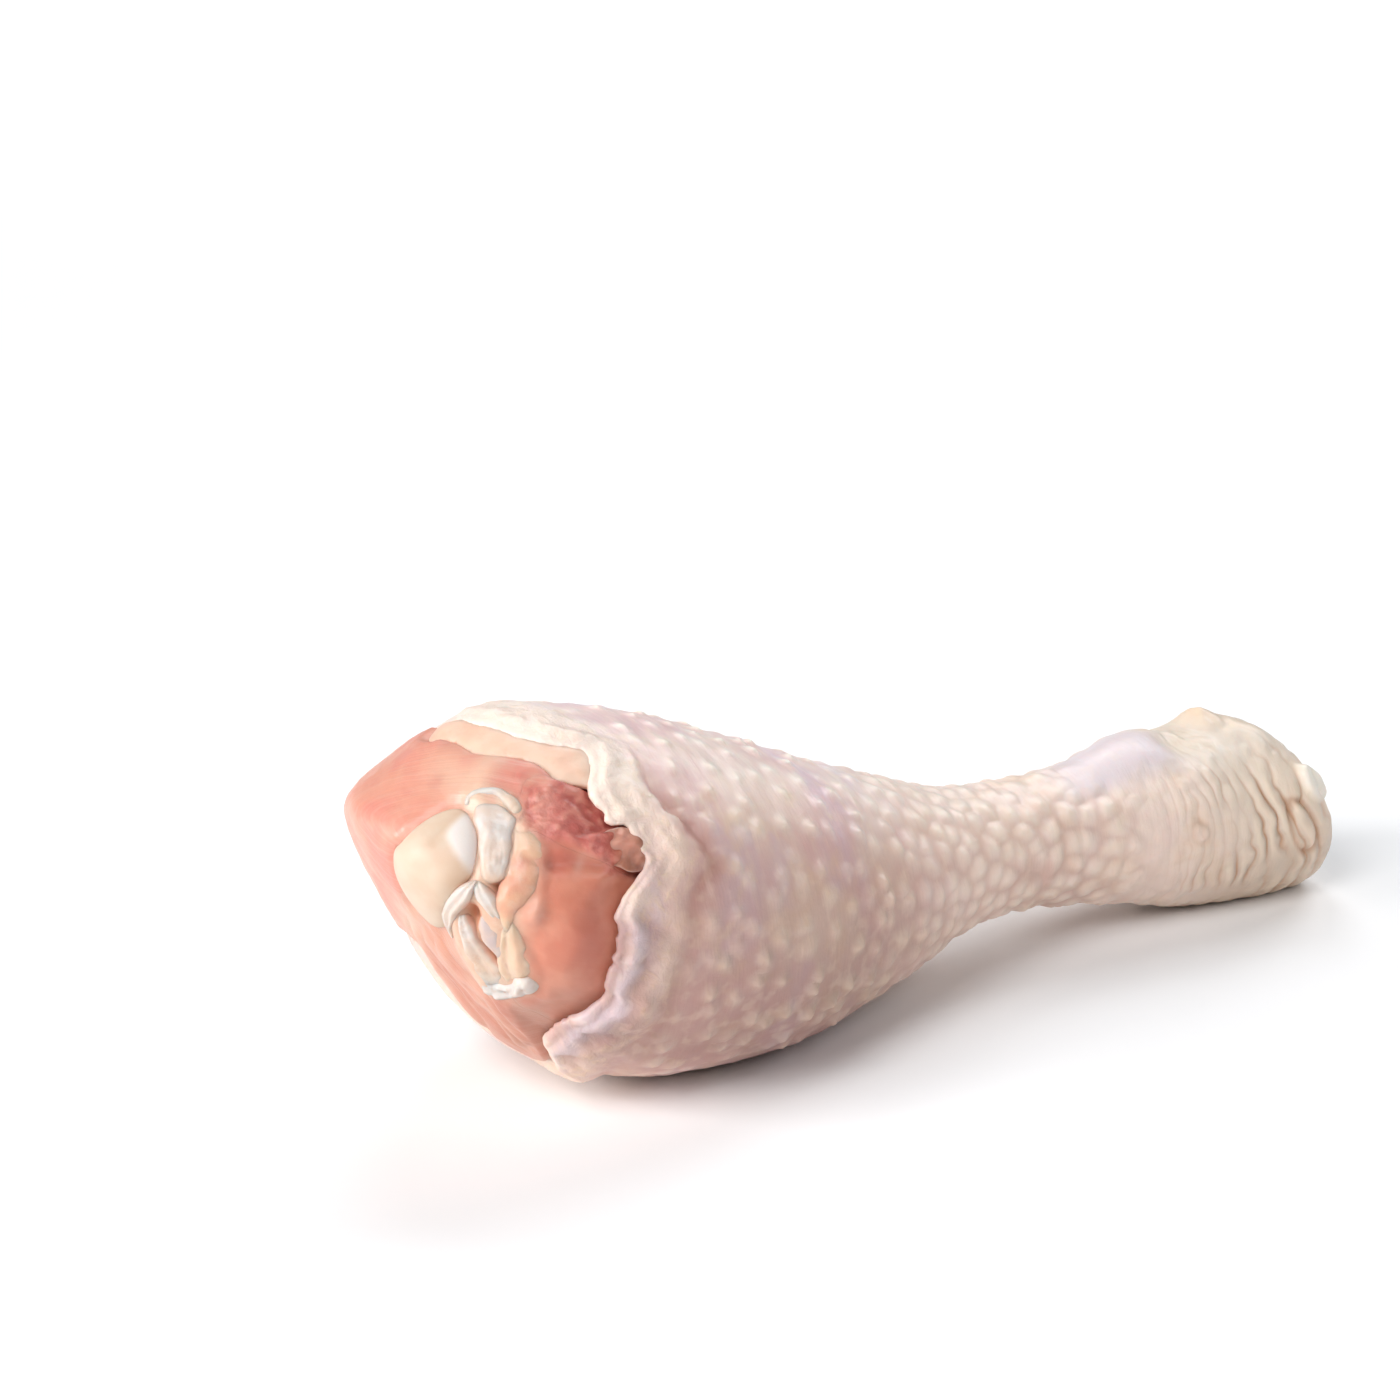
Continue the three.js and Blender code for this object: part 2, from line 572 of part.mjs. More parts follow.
// The origin is under the middle of the leg, on the surface that it lies on.
const box = new THREE.Box3().setFromObject(drumstick);
const centre = box.getCenter(new THREE.Vector3());
drumstick.position.set(-centre.x, -centre.y, -box.min.z);

export default drumstick;
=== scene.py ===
import itertools
import math

import bpy
import numpy as np
from bpy.props import FloatProperty, FloatVectorProperty, IntProperty, PointerProperty
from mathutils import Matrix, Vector


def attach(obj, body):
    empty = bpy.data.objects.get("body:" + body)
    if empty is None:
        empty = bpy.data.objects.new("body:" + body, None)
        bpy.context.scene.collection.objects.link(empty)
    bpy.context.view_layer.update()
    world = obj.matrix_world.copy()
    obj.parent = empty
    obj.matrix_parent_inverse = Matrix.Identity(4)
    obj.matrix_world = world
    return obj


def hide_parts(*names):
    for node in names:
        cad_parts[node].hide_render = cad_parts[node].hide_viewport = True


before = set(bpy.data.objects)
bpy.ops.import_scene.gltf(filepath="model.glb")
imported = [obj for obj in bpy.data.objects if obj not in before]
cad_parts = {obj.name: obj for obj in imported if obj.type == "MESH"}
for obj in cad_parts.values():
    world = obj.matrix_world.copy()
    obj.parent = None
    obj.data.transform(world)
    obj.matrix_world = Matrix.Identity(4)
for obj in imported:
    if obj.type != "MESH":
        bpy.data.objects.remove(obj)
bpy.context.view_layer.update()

# A raw chicken drumstick with its skin on, lying on its side. Shapes are worked out in millimetres in the
# leg's own frame, x from the knee end's tip towards the ankle, and go into the meshes in metres in the
# part's frame.
#
# A place on the leg is "along" (0 at the bone's head, KNEE_DEPTH at the widest ring, then the distance
# along the leg), "angle" (degrees round the leg, 0 in front, 90 on top) and a height over the plain form.

bl_info = {
    "name": "Raw chicken drumstick",
    "version": (1, 0, 0),
    "blender": (4, 5, 0),
    "location": "3D Viewport > Sidebar > Drumstick",
    "description": "Builds a skin-on drumstick with its torn knee end, joint, meat and creased ankle",
    "category": "Add Mesh",
}

MM = 0.001
TIP_TO_MIDDLE = np.array([77.545, -0.0033, 0.0])

# The leg's plain form.
KNEE_DEPTH = 26.0
KNEE_FULLNESS = 2.15
BONE_OFF_TIP = math.radians(27.7)
# at, top, bottom, half width, back
STATIONS = np.array([
    (0, 49.0, 31.5, 26.0, 5.0),
    (12, 53.0, 9.4, 25.0, 3.0),
    (26, 52.4, 2.2, 25.5, 0.5),
    (42, 47.5, -0.6, 25.3, 0.0),
    (58, 40.5, -0.6, 22.0, 0.0),
    (74, 33.0, 3.0, 16.3, 0.0),
    (90, 27.0, 7.0, 11.0, 0.0),
    (102, 25.5, 6.8, 9.2, 0.0),
    (114, 26.0, 4.5, 10.2, 0.0),
    (126, 28.2, 0.6, 11.8, 0.0),
    (136, 27.0, -1.2, 13.0, 0.0),
    (146, 27.8, -1.4, 13.8, 0.0),
    (154, 27.2, -0.8, 14.0, 0.0),
])
# Near the ankle the form leans forwards by "front" and "top" and rounds off towards its tip.
ANKLE = {"lean_from": 108, "lean_to": 150, "front": 3, "top": -5, "round_from": 143, "tip": 153,
         "fullness": 2.3}

# The torn edge of the skin: angle, along.
SKIN_EDGE = np.array([
    (-180, 18.8), (-160, 18.4), (-145, 17.8), (-134, 15.6), (-125, 14.8), (-116, 15.7), (-107, 17.0),
    (-98, 18.3), (-91, 19.8), (-84, 21.1), (-76, 21.2), (-71, 20.9), (-66, 19.2), (-61, 17.9),
    (-50, 17.6), (-41, 17.9), (-34, 18.9), (-25, 19.9), (-19, 20.6), (-10, 20.5), (-2, 21.0), (6, 21.8),
    (12, 21.7), (17, 22.3), (22, 23.3), (25, 24.5), (29, 25.8), (33, 25.7), (35, 26.0), (39, 25.9),
    (42, 25.2), (43, 24.0), (47, 23.6), (52, 23.3), (58, 23.9), (64, 25.0), (69, 25.3), (74, 24.0),
    (81, 22.3), (89, 21.0), (97, 20.5), (108, 20.4), (120, 20.6), (135, 20.2), (152, 19.5), (168, 19.0),
])
SKIN_THICKNESS = 1.5
MEAN_EDGE = 21.0
# The skin's rows follow the torn edge less and less, and from here on not at all.
EDGE_FADES_BY = 45.0
# Where the skin ends at the ankle, where the leg thins to the shank, where the hock's creases begin, and
# where the feather follicles start and end.
LIP = 151.0
SHANK = 58.0
HOCK = 118.0
FOLLICLES_FROM, FOLLICLES_TO = 16.0, 127.0

# The seams between the muscles: along, angle.
CALF_UNDER, UNDER_SHIN = -53, -128
SEAM_SHIN_RED = np.array([(0, 68), (16, 68), (18, 71), (21, 66), (150, 66)])
SEAM_RED_CALF = np.array([(0, 54), (14.9, 53), (17.4, 43), (20.8, 33), (25, 27), (150, 22)])
SEAM_CALF_UNDER = np.array([(0, CALF_UNDER), (150, CALF_UNDER)])
SEAM_UNDER_SHIN = np.array([(0, UNDER_SHIN), (150, UNDER_SHIN)])


def smooth(x):
    """An S-curve from 0 to 1 as x goes from 0 to 1: 3x^2 - 2x^3."""
    x = np.clip(x, 0, 1)
    return x * x * (3 - 2 * x)


def rise(x, start, width):
    """An S-curve from 0 at the start to 1 that width further on."""
    return smooth((x - start) / width)


def fall(x, start, width):
    """An S-curve from 1 at the start to 0 that width further on."""
    return 1 - smooth((x - start) / width)


def bell(distance, reach):
    """1 at distance 0, fading as exp(-(distance / reach)^2)."""
    return np.exp(-((distance / reach) ** 2))


def turned(angle):
    """The same direction as an angle between -180 and 180."""
    return (np.asarray(angle, float) + 180) % 360 - 180


def angle_bell(angle, centre, spread):
    """A bell over the angle from a centre direction."""
    return bell(turned(angle - centre), spread)


def angle_window(angle, low, high, soft):
    """1 between two angles, with soft sides outside them."""
    middle, half = (low + high) / 2, (high - low) / 2
    return 1 - smooth((np.abs(turned(angle - middle)) - half) / soft)


def through(x, knots, values):
    """A smooth curve through the knots: on each span the cubic whose end slopes are those between the knots
    on either side."""
    knots, values = np.asarray(knots, float), np.asarray(values, float)
    slopes = np.empty_like(values)
    slopes[1:-1] = (values[2:] - values[:-2]) / (knots[2:] - knots[:-2])
    slopes[0] = (values[1] - values[0]) / (knots[1] - knots[0])
    slopes[-1] = (values[-1] - values[-2]) / (knots[-1] - knots[-2])
    x = np.clip(x, knots[0], knots[-1])
    i = np.clip(np.searchsorted(knots, x, side="right") - 1, 0, len(knots) - 2)
    span = knots[i + 1] - knots[i]
    t = (x - knots[i]) / span
    s0, s1, gain = slopes[i] * span, slopes[i + 1] * span, values[i + 1] - values[i]
    return values[i] + t * (s0 + t * (3 * gain - 2 * s0 - s1 + t * (s0 + s1 - 2 * gain)))


def round_through(angle, table):
    """The same through a table of angles that closes on itself."""
    knots = np.concatenate([table[-2:, 0] - 360, table[:, 0], table[:2, 0] + 360])
    values = np.concatenate([table[-2:, 1], table[:, 1], table[:2, 1]])
    return through(turned(angle), knots, values)


def form_point(along, angle):
    """The plain form. Past the widest ring: an ellipse in each cross-section. On the knee end: a direction
    that swings from the bone's head to the ring, set on a squarish dome. Near the ankle it leans and rounds
    off."""
    along, angle = np.broadcast_arrays(np.asarray(along, float), np.radians(angle))
    share = np.clip(along / KNEE_DEPTH, 0, 1)
    px, py = math.cos(BONE_OFF_TIP), math.sin(BONE_OFF_TIP)
    swing = np.arccos(np.clip(py * np.cos(angle), -1, 1))
    from_head = np.sin((1 - share) * swing) / np.sin(swing)
    from_ring = np.sin(share * swing) / np.sin(swing)
    nx = np.clip(from_head * px, 0, 1)
    ny, nz = from_head * py + from_ring * np.cos(angle), from_ring * np.sin(angle)
    knee = along < KNEE_DEPTH
    x = np.where(knee, KNEE_DEPTH * (1 - nx ** (2 / KNEE_FULLNESS)), along)
    size = np.where(knee, np.hypot(ny, nz) ** (2 / KNEE_FULLNESS), 1)
    side = np.where(knee, np.arctan2(nz, ny), angle)
    top, bottom, half_width, back = (through(x, STATIONS[:, 0], STATIONS[:, k]) for k in (1, 2, 3, 4))
    rounding = np.clip((along - ANKLE["round_from"]) / (ANKLE["tip"] - ANKLE["round_from"]), 0, 1)
    closing = (1 - rounding ** ANKLE["fullness"]) ** (1 / ANKLE["fullness"])
    lean = smooth((along - ANKLE["lean_from"]) / (ANKLE["lean_to"] - ANKLE["lean_from"])) * closing
    return np.stack([
        x + lean * (ANKLE["front"] * np.cos(side) + ANKLE["top"] * np.sin(side)),
        back - half_width * size * closing * np.cos(side),
        (top + bottom) / 2 + (top - bottom) / 2 * size * closing * np.sin(side),
    ], -1)


def form_normal(along, angle):
    """The outward direction: the cross product of the form's slopes along and round the leg."""
    near = np.maximum(along, 0.3)
    lengthwise = form_point(near + 0.05, angle) - form_point(near - 0.05, angle)
    crosswise = form_point(near, angle + 1) - form_point(near, angle - 1)
    normal = np.cross(lengthwise, crosswise)
    return normal / np.linalg.norm(normal, axis=-1, keepdims=True)


def leg_point(along, angle, height):
    """A point at a height over the form. Under z = 0 the form is flattened, as the leg rests on a surface."""
    point = form_point(along, angle) + form_normal(along, angle) * np.asarray(height)[..., None]
    point[..., 2] = np.maximum(point[..., 2], np.maximum(-np.asarray(height), 0))
    return point


def scramble(cell, seed):
    """A fixed pseudo-random value from -1 to 1 for each whole-numbered cell."""
    h = (cell[..., 0] * 73856093) ^ (cell[..., 1] * 19349663) ^ (cell[..., 2] * 83492791)
    h = h ^ (seed * 2654435761)
    h = (h ^ (h >> 13)) * 1274126177 & 0xFFFFFFFF
    h = (h ^ (h >> 16)) * 2246822519 & 0xFFFFFFFF
    return (h ^ (h >> 15)) % 65536 / 32767.5 - 1


def folded(value):
    """Soft ridges with creases between them where a noise value is near 0: 2 (value^2 + 0.012)^0.5 - 0.5."""
    return 2 * np.sqrt(value**2 + 0.012) - 0.5


def noise(points, size, seed=0):
    """Value noise from -1 to 1: random values at the corners of cubes of that size, blended with S-curves."""
    cell = np.floor(points / size).astype(np.int64)
    part = smooth(points / size - cell)
    total = np.zeros(points.shape[:-1])
    for corner in itertools.product((0, 1), repeat=3):
        weight = np.prod(np.where(corner, part, 1 - part), axis=-1)
        total += weight * scramble(cell + np.array(corner), seed)
    return total


def rough(points, size, seed=0, octaves=3):
    """Noise at a size plus halves of itself at half the size, and so on."""
    return sum(noise(points, size / 2**k, seed + 17 * k) / 2**k for k in range(octaves))


def wrinkles(points, size, seed, push, stretch=(1, 1, 1)):
    """Folded noise over stretched places that a second noise pushes about."""
    return folded(noise(points * np.array(stretch) + push[..., None], size, seed))


def nearest_two(points, places, among=4000):
    """Distances from each point to its nearest and its next nearest place, by whole blocks of points."""
    flat = points.reshape(-1, 3)
    first, second, which = np.empty(len(flat)), np.empty(len(flat)), np.empty(len(flat), int)
    for start in range(0, len(flat), among):
        block = slice(start, start + among)
        part = ((flat[block, None, :] - places[None]) ** 2).sum(-1)
        order = np.argpartition(part, 1, axis=1)[:, :2]
        two = np.sqrt(np.take_along_axis(part, order, 1))
        first[block], second[block] = two[:, 0], two[:, 1]
        which[block] = order[:, 0]
    shape = points.shape[:-1]
    return first.reshape(shape), second.reshape(shape), which.reshape(shape)


def in_frame(points):
    """From millimetres in the leg's own frame to metres in the part's frame."""
    return (points - TIP_TO_MIDDLE) * MM


def add_mesh(name, points, faces, marks=None, grain=None):
    """Puts a piece's points, faces, per-point marks and grain coordinates into a smooth-shaded mesh
    object."""
    mesh = bpy.data.meshes.new(name)
    mesh.vertices.add(len(points))
    mesh.vertices.foreach_set("co", in_frame(points).astype(np.float32).ravel())
    if isinstance(faces, list):
        sizes = np.array([len(face) for face in faces], np.int32)
        corners = np.concatenate(faces).astype(np.int32)
    else:
        sizes = np.full(len(faces), faces.shape[1], np.int32)
        corners = faces.ravel().astype(np.int32)
    mesh.loops.add(len(corners))
    mesh.loops.foreach_set("vertex_index", corners)
    mesh.polygons.add(len(sizes))
    mesh.polygons.foreach_set("loop_start", np.concatenate([[0], np.cumsum(sizes)[:-1]]).astype(np.int32))
    mesh.polygons.foreach_set("use_smooth", np.ones(len(sizes), bool))
    mesh.update(calc_edges=True)
    for key, values in (marks or {}).items():
        layer = mesh.attributes.new(key, "FLOAT", "POINT")
        layer.data.foreach_set("value", np.asarray(values, np.float32).ravel())
    if grain is not None:
        layer = mesh.uv_layers.new(name="grain")
        layer.data.foreach_set("uv", grain[corners].astype(np.float32).ravel())
    obj = bpy.data.objects.new(name, mesh)
    bpy.context.scene.collection.objects.link(obj)
    return obj


def ring_faces(rings, around, closed):
    """Quads between neighbouring rings of points. closed joins the last ring to the first one."""
    spans = rings if closed else rings - 1
    i, j = np.meshgrid(np.arange(spans), np.arange(around), indexing="ij")
    here, ahead = i * around, (i + 1) % rings * around
    nxt = (j + 1) % around
    return np.stack([here + j, ahead + j, ahead + nxt, here + nxt], -1).reshape(-1, 4)


def capped_faces(rings, around):
    """The quads of a tube of rings with a flat face over each end, as a list of point numbers."""
    faces = list(ring_faces(rings, around, False))
    return faces + [np.arange(around), (rings - 1) * around + np.arange(around)[::-1]]


def outward(points, faces):
    """The faces, turned round if they enclose a negative volume, so that they look outwards."""
    volume = 0.0
    for size in {len(f) for f in faces}:
        same = np.array([f for f in faces if len(f) == size])
        first, second, third = points[same[:, :1]], points[same[:, 1:-1]], points[same[:, 2:]]
        volume += (first * np.cross(second, third)).sum()
    return faces if volume > 0 else [f[::-1] for f in faces]


def place_piece(obj, nodes, material):
    """Gives a piece its material and material slot. It rides on the leg and stands for its CAD nodes."""
    obj.data.materials.append(material)
    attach(obj, "root")
    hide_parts(*nodes)


class Shader:
    """A material's node tree, built up one node a call. An input is a value or another node's output.
    Layers of colour and bumps are laid over those so far."""

    def __init__(self, name):
        self.material = bpy.data.materials.new(name)
        self.material.use_nodes = True
        self.tree = self.material.node_tree
        self.surface = self.tree.nodes["Principled BSDF"]
        self.colour = self.normal = None

    def set(self, node, **inputs):
        """Sets a node's inputs by name, or by number as i0, i1 and so on."""
        for key, value in inputs.items():
            numbered = key[0] == "i" and key[1:].isdigit()
            socket = node.inputs[int(key[1:]) if numbered else key.replace("_", " ")]
            if isinstance(value, bpy.types.NodeSocket):
                self.tree.links.new(value, socket)
            elif socket.type == "RGBA" and len(value) == 3:
                socket.default_value = (*value, 1)
            else:
                socket.default_value = value
        return node

    def add(self, kind, settings=None, **inputs):
        """A new node with its settings and inputs."""
        node = self.tree.nodes.new(kind)
        for key, value in (settings or {}).items():
            setattr(node, key, value)
        return self.set(node, **inputs)

    def mark(self, name):
        """A mark that the mesh holds for each of its points."""
        return self.add("ShaderNodeAttribute", {"attribute_name": name}).outputs["Fac"]

    def coords(self, scale=(1, 1, 1), turn=(0, 0, 0), grain=False):
        """Places on the object, or along and across its grain, stretched and turned."""
        kind = self.add("ShaderNodeUVMap", {"uv_map": "grain"}) if grain else self.add("ShaderNodeTexCoord")
        place = kind.outputs[0 if grain else "Object"]
        return self.add("ShaderNodeMapping", Vector=place, Scale=scale, Rotation=turn).outputs[0]

    def noise(self, size, detail=3.0, vector=None, roughness=0.5, distortion=0.0):
        """Noise from 0 to 1 with grains of a size in metres."""
        vector = self.coords() if vector is None else vector
        node = self.add("ShaderNodeTexNoise", Vector=vector, Scale=1 / size, Detail=detail)
        return self.set(node, Roughness=roughness, Distortion=distortion).outputs["Fac"]

    def cells(self, size):
        """The distance to the nearest of scattered places, by their mean distance from each other."""
        return self.add("ShaderNodeTexVoronoi", Vector=self.coords(), Scale=1 / size).outputs["Distance"]

    def math(self, operation, a, b=0.0):
        """A sum on one or two values."""
        return self.add("ShaderNodeMath", {"operation": operation}, i0=a, i1=b).outputs[0]

    def times(self, product, *others):
        """The product of values."""
        for other in others:
            product = self.math("MULTIPLY", product, other)
        return product

    def less(self, value):
        """1 less the value."""
        return self.math("SUBTRACT", 1.0, value)

    def span(self, value, low, high, to_low=0.0, to_high=1.0):
        """An S-curve from to_low to to_high as the value goes from low to high."""
        return self.add("ShaderNodeMapRange", {"interpolation_type": "SMOOTHSTEP"}, Value=value, From_Min=low,
                        From_Max=high, To_Min=to_low, To_Max=to_high).outputs[0]

    def mix(self, share, a, b, blend="MIX"):
        """From one colour to another, by a share that is held between 0 and 1."""
        settings = {"data_type": "RGBA", "blend_type": blend}
        return self.add("ShaderNodeMix", settings, i0=share, i6=a, i7=b).outputs[2]

    def lay(self, colour, *shares, blend="MIX"):
        """Lays a colour over the one so far, by the product of the shares."""
        self.colour = self.mix(self.times(*shares), self.colour, colour, blend)

    def shade(self, factors, *shares):
        """Multiplies the colour so far by factors, by the product of the shares."""
        self.lay(factors, *shares, blend="MULTIPLY")

    def bump(self, height, distance, strength=1.0):
        """Lays bumps over those so far."""
        node = self.add("ShaderNodeBump", Height=height, Distance=distance, Strength=strength)
        if self.normal is not None:
            self.set(node, Normal=self.normal)
        self.normal = node.outputs[0]

    def finish(self, roughness, **more):
        """Gives the surface the colour and the bumps so far, its roughness and more of its inputs."""
        if self.normal is not None:
            more["Normal"] = self.normal
        self.set(self.surface, Base_Color=self.colour, Roughness=roughness, **more)
        return self.material


def srgb(*rgb):
    """A colour given as 0 to 255 screen values, as linear light."""
    c = np.array(rgb) / 255
    return tuple(np.where(c <= 0.04045, c / 12.92, ((c + 0.055) / 1.055) ** 2.4))


# Skin.

def torn_edge(angle):
    """Where the torn edge lies: the curve through SKIN_EDGE with small teeth and nicks from noise."""
    place = form_point(np.full(np.shape(angle), MEAN_EDGE), angle)
    ragged = 0.45 + 0.5 * angle_bell(angle, 28, 28) + 0.3 * angle_bell(angle, -62, 16)
    ragged = ragged + 0.7 * angle_bell(angle, -130, 35)
    teeth = 0.60 * noise(place, 2.3, 3) + 0.40 * noise(place, 0.9, 4)
    return round_through(angle, SKIN_EDGE) + ragged * teeth


def in_front(angle):
    """1 where the torn edge lies in front or on top, 0 at the back and underneath, where it hugs the meat."""
    return angle_window(angle, -62, 112, 14)


def follicle_places(spacing, seed):
    """Feather follicles: rings of evenly spread places, each ring turned by half a step, and jittered."""
    rng = np.random.default_rng(seed)
    places, along, row = [], FOLLICLES_FROM, 0
    while along < FOLLICLES_TO:
        step = spacing * (1 - 0.22 * rise(along, 55, 25))
        ring = form_point(np.full(361, along), np.arange(361.0))
        count = max(int(round(np.linalg.norm(np.diff(ring, axis=0), axis=-1).sum() / step)), 6)
        angles = (np.arange(count) + 0.5 * (row % 2)) * 360 / count + rng.normal(0, 0.22, count) * 360 / count
        places.append(form_point(along + rng.normal(0, 0.20 * step, count), angles))
        along += 0.84 * step
        row += 1
    places = np.concatenate(places)
    return places, rng.uniform(0.45, 1.15, len(places))


# Places on the hock: along, angle.
TENDON_BULGE = (119.5, 80)
TENDON_HOLLOW = (130, 76)
FLAP = (141.5, 98)
TAG = (147.2, 27)
OVAL = (142.3, 3)
SMALL_OVAL = (125.7, 8)
# How far behind the torn edge the fold's valley lies: angle, millimetres.
CUFF_VALLEY = np.array([
    (-180, 6), (-75, 5.6), (-16, 6.0), (-3, 6.7), (10, 7.4), (16, 7.8), (30, 7.9), (45, 7.2), (62, 6.2),
    (120, 6),
])


def mound_at(along, angle, place, long, wide):
    """A mound at a place on the leg: a bell over that many millimetres times one over that many degrees."""
    return bell(along - place[0], long) * angle_bell(angle, place[1], wide)


def oval_at(along, angle, place, long, wide):
    """How far out from an oval's middle a place lies, in shares of its half length and half width."""
    return np.hypot((along - place[0]) / long, turned(angle - place[1]) / wide)


def skin_relief(along, angle, edge, settings):
    """The skin's height over the form: the sum of soft lumps, the folded cuff behind the torn edge, mounds
    with small peaks over the follicles, stretch lines round the leg, creases round the hock as |sin| of a
    phase that runs slower towards the end, the tendon's bulge, the hollow past it and torn flaps. Also
    gives marks."""
    at = form_point(along, angle)
    behind = along - edge
    angle = turned(angle)
    lumps = 0.30 * noise(at, 12, 1) + 0.16 * noise(at, 5.5, 2)
    height = lumps * smooth(behind / 2.5) * (0.4 + 0.6 * smooth((150 - along) / 8))

    # The cuff: a lumpy roll, the valley behind it and, low in front, a small inner roll with its own crease.
    front = angle_window(angle, -72, 52, 26)
    low = angle_window(angle, -60, 6, 12)
    wander = behind + 0.9 * noise(at, 6, 5) + 0.55 * noise(at, 2.6, 6)
    valley = round_through(angle, CUFF_VALLEY)
    roll = 0.85 * bell(wander - 0.55 * valley, 3.1) * (0.25 + 0.75 * front) * (1 + 0.75 * noise(at, 3.8, 7))
    dip = bell(wander - valley - 0.6, 1.9) * front * (0.75 + 0.5 * noise(at, 9, 8))
    fold = low * bell(wander - 2.4, 0.9) * (0.7 + 0.6 * noise(at, 3.0, 19))
    inner_roll = low * bell(wander - 1.2, 0.9)
    height += roll - 0.90 * dip + 0.25 * inner_roll - 0.5 * fold
    height += 0.46 * rough(at, 3.4, 9, 3) * bell(behind - 3, 4) * (0.3 + 0.7 * front)
    pushed = noise(at, 2, 18)
    height += 0.30 * wrinkles(at, 2.0, 17, 0.5 * pushed) * bell(behind - 2.5, 3.2) * front
    slanted = np.stack([behind + 0.06 * angle, 0.11 * angle, 0 * angle], -1)
    pleats = rough(slanted, 1.7, 15, 2)
    height += 0.40 * pleats * bell(behind - 3.2, 3.6) * front
    height -= 0.45 * bell(wander - valley - 7.5, 3.2) * angle_window(angle, 0, 48, 20)
    thick_top = angle_window(angle, 52, 118, 16)
    height += (0.45 * thick_top * bell(behind - 0.9, 1.3)
               + 0.25 * thick_top * noise(at, 2.2, 16) * bell(behind - 1, 2.5))
    height += 0.26 * thick_top * wrinkles(at, 1.5, 20, 0.4 * pushed) * bell(behind - 1.6, 2.6)

    # Follicles.
    places, sizes = follicle_places(settings.follicle_spacing, 7)
    warped = at + 0.5 * np.stack([noise(at, 3.5, seed) for seed in (11, 12, 13)], -1)
    first, second, which = nearest_two(warped, places)
    size = sizes[which]
    shank = rise(along, SHANK, 22)
    calm = angle_window(angle, 8, 58, 22) * fall(along, 46, 20)
    tendon = angle_window(angle, 66, 112, 22) * rise(along, 103, 11) * fall(along, 124, 7)
    creasing = rise(along, 108, 12) * angle_window(angle, -90, 66, 26)
    offset = warped - places[which]
    crosswise = form_point(along, angle + 1) - form_point(along, angle - 1)
    crosswise /= np.linalg.norm(crosswise, axis=-1, keepdims=True)
    round_leg = (offset * crosswise).sum(-1) + 0.35 * offset[..., 0]
    drop = np.sqrt(np.maximum(first**2 - 0.22 * round_leg**2, 0))
    mound, wide = (bell(drop, a) * bell(first, b) * size for a, b in ((1.25, 2.3), (1.5, 2.5)))
    peak = bell(drop, 0.92) * bell(first, 1.5) * size * (1 - 0.65 * angle_window(angle, -80, -42, 9))
    aside = offset + 0.85 * crosswise + np.array([0.55, 0, 0])
    shaded = bell(np.linalg.norm(aside, axis=-1), 1.0) * (1 - bell(first, 0.8)) * size
    cobble = (0.75 * bell(first, 1.45) + 0.25 * smooth((second - first) / 2.2)) * (0.5 + 0.5 * size)
    calmer = 1 - 0.5 * angle_window(angle, 66, 125, 25) - 0.8 * angle_window(angle, -150, -60, 18)
    low_front = angle_window(angle, -38, 10, 16)
    bumps = (1 - shank) * (0.68 * mound + 0.50 * peak + 0.45 * low_front * wide) * calmer
    bumps = bumps + shank * 0.76 * cobble
    present = rise(behind, 4, 7) * (1 - 0.5 * calm) * (1 - 0.95 * tendon) * (1 - 0.8 * creasing)
    present = present * fall(along, HOCK, 12) * (0.75 + 0.35 * noise(at, 14, 14))
    height += settings.follicle_rise * bumps * present

    # Stretch lines between the follicles, round the leg.
    lines = rough(at * np.array([1.0, 0.2, 0.2]), 1.5, 21, 2)
    facing = 0.35 + 0.65 * angle_window(angle, -40, 75, 25)
    height += 0.13 * lines * rise(behind, 5, 6) * (1 - shank) * facing
    height += 0.10 * lines * shank * fall(along, 110, 10)

    # Pinched lumps before the hock, and the creases round it.
    knots = wrinkles(at, 2.7, 34, 0.6 * noise(at, 3, 36), (1.1, 0.8, 0.8))
    height += 0.30 * knots * rise(along, 92, 10) * fall(along, 130, 10) * (1 - tendon)
    warp = 0.52 * noise(at, 8.5, 31) + 0.30 * noise(at, 4.0, 32) + 0.17 * noise(at, 1.6, 35)
    past = along - HOCK
    phase = np.minimum(past, 0) / 1.25 + np.log(1 + 0.056 * np.maximum(past, 0)) / 0.07 + warp
    phase += 0.35 * rise(angle, 60, 50) * past / 8
    ridge = np.abs(np.sin(np.pi * phase)) ** 0.75
    front_hock = angle_window(angle, -52, 20, 46)
    creased = rise(along, 117, 15) * fall(along, 151, 2) * (0.16 + 0.84 * front_hock)
    creased = creased * (1 - tendon) * (0.66 + 0.9 * noise(at, 4.2, 33))
    creased = np.clip(creased, 0.05 * rise(along, 116, 6), 1.15)
    depth = settings.crease_depth * (0.14 + 0.82 * rise(along, 121, 24))
    height += depth * creased * (ridge - 0.65)

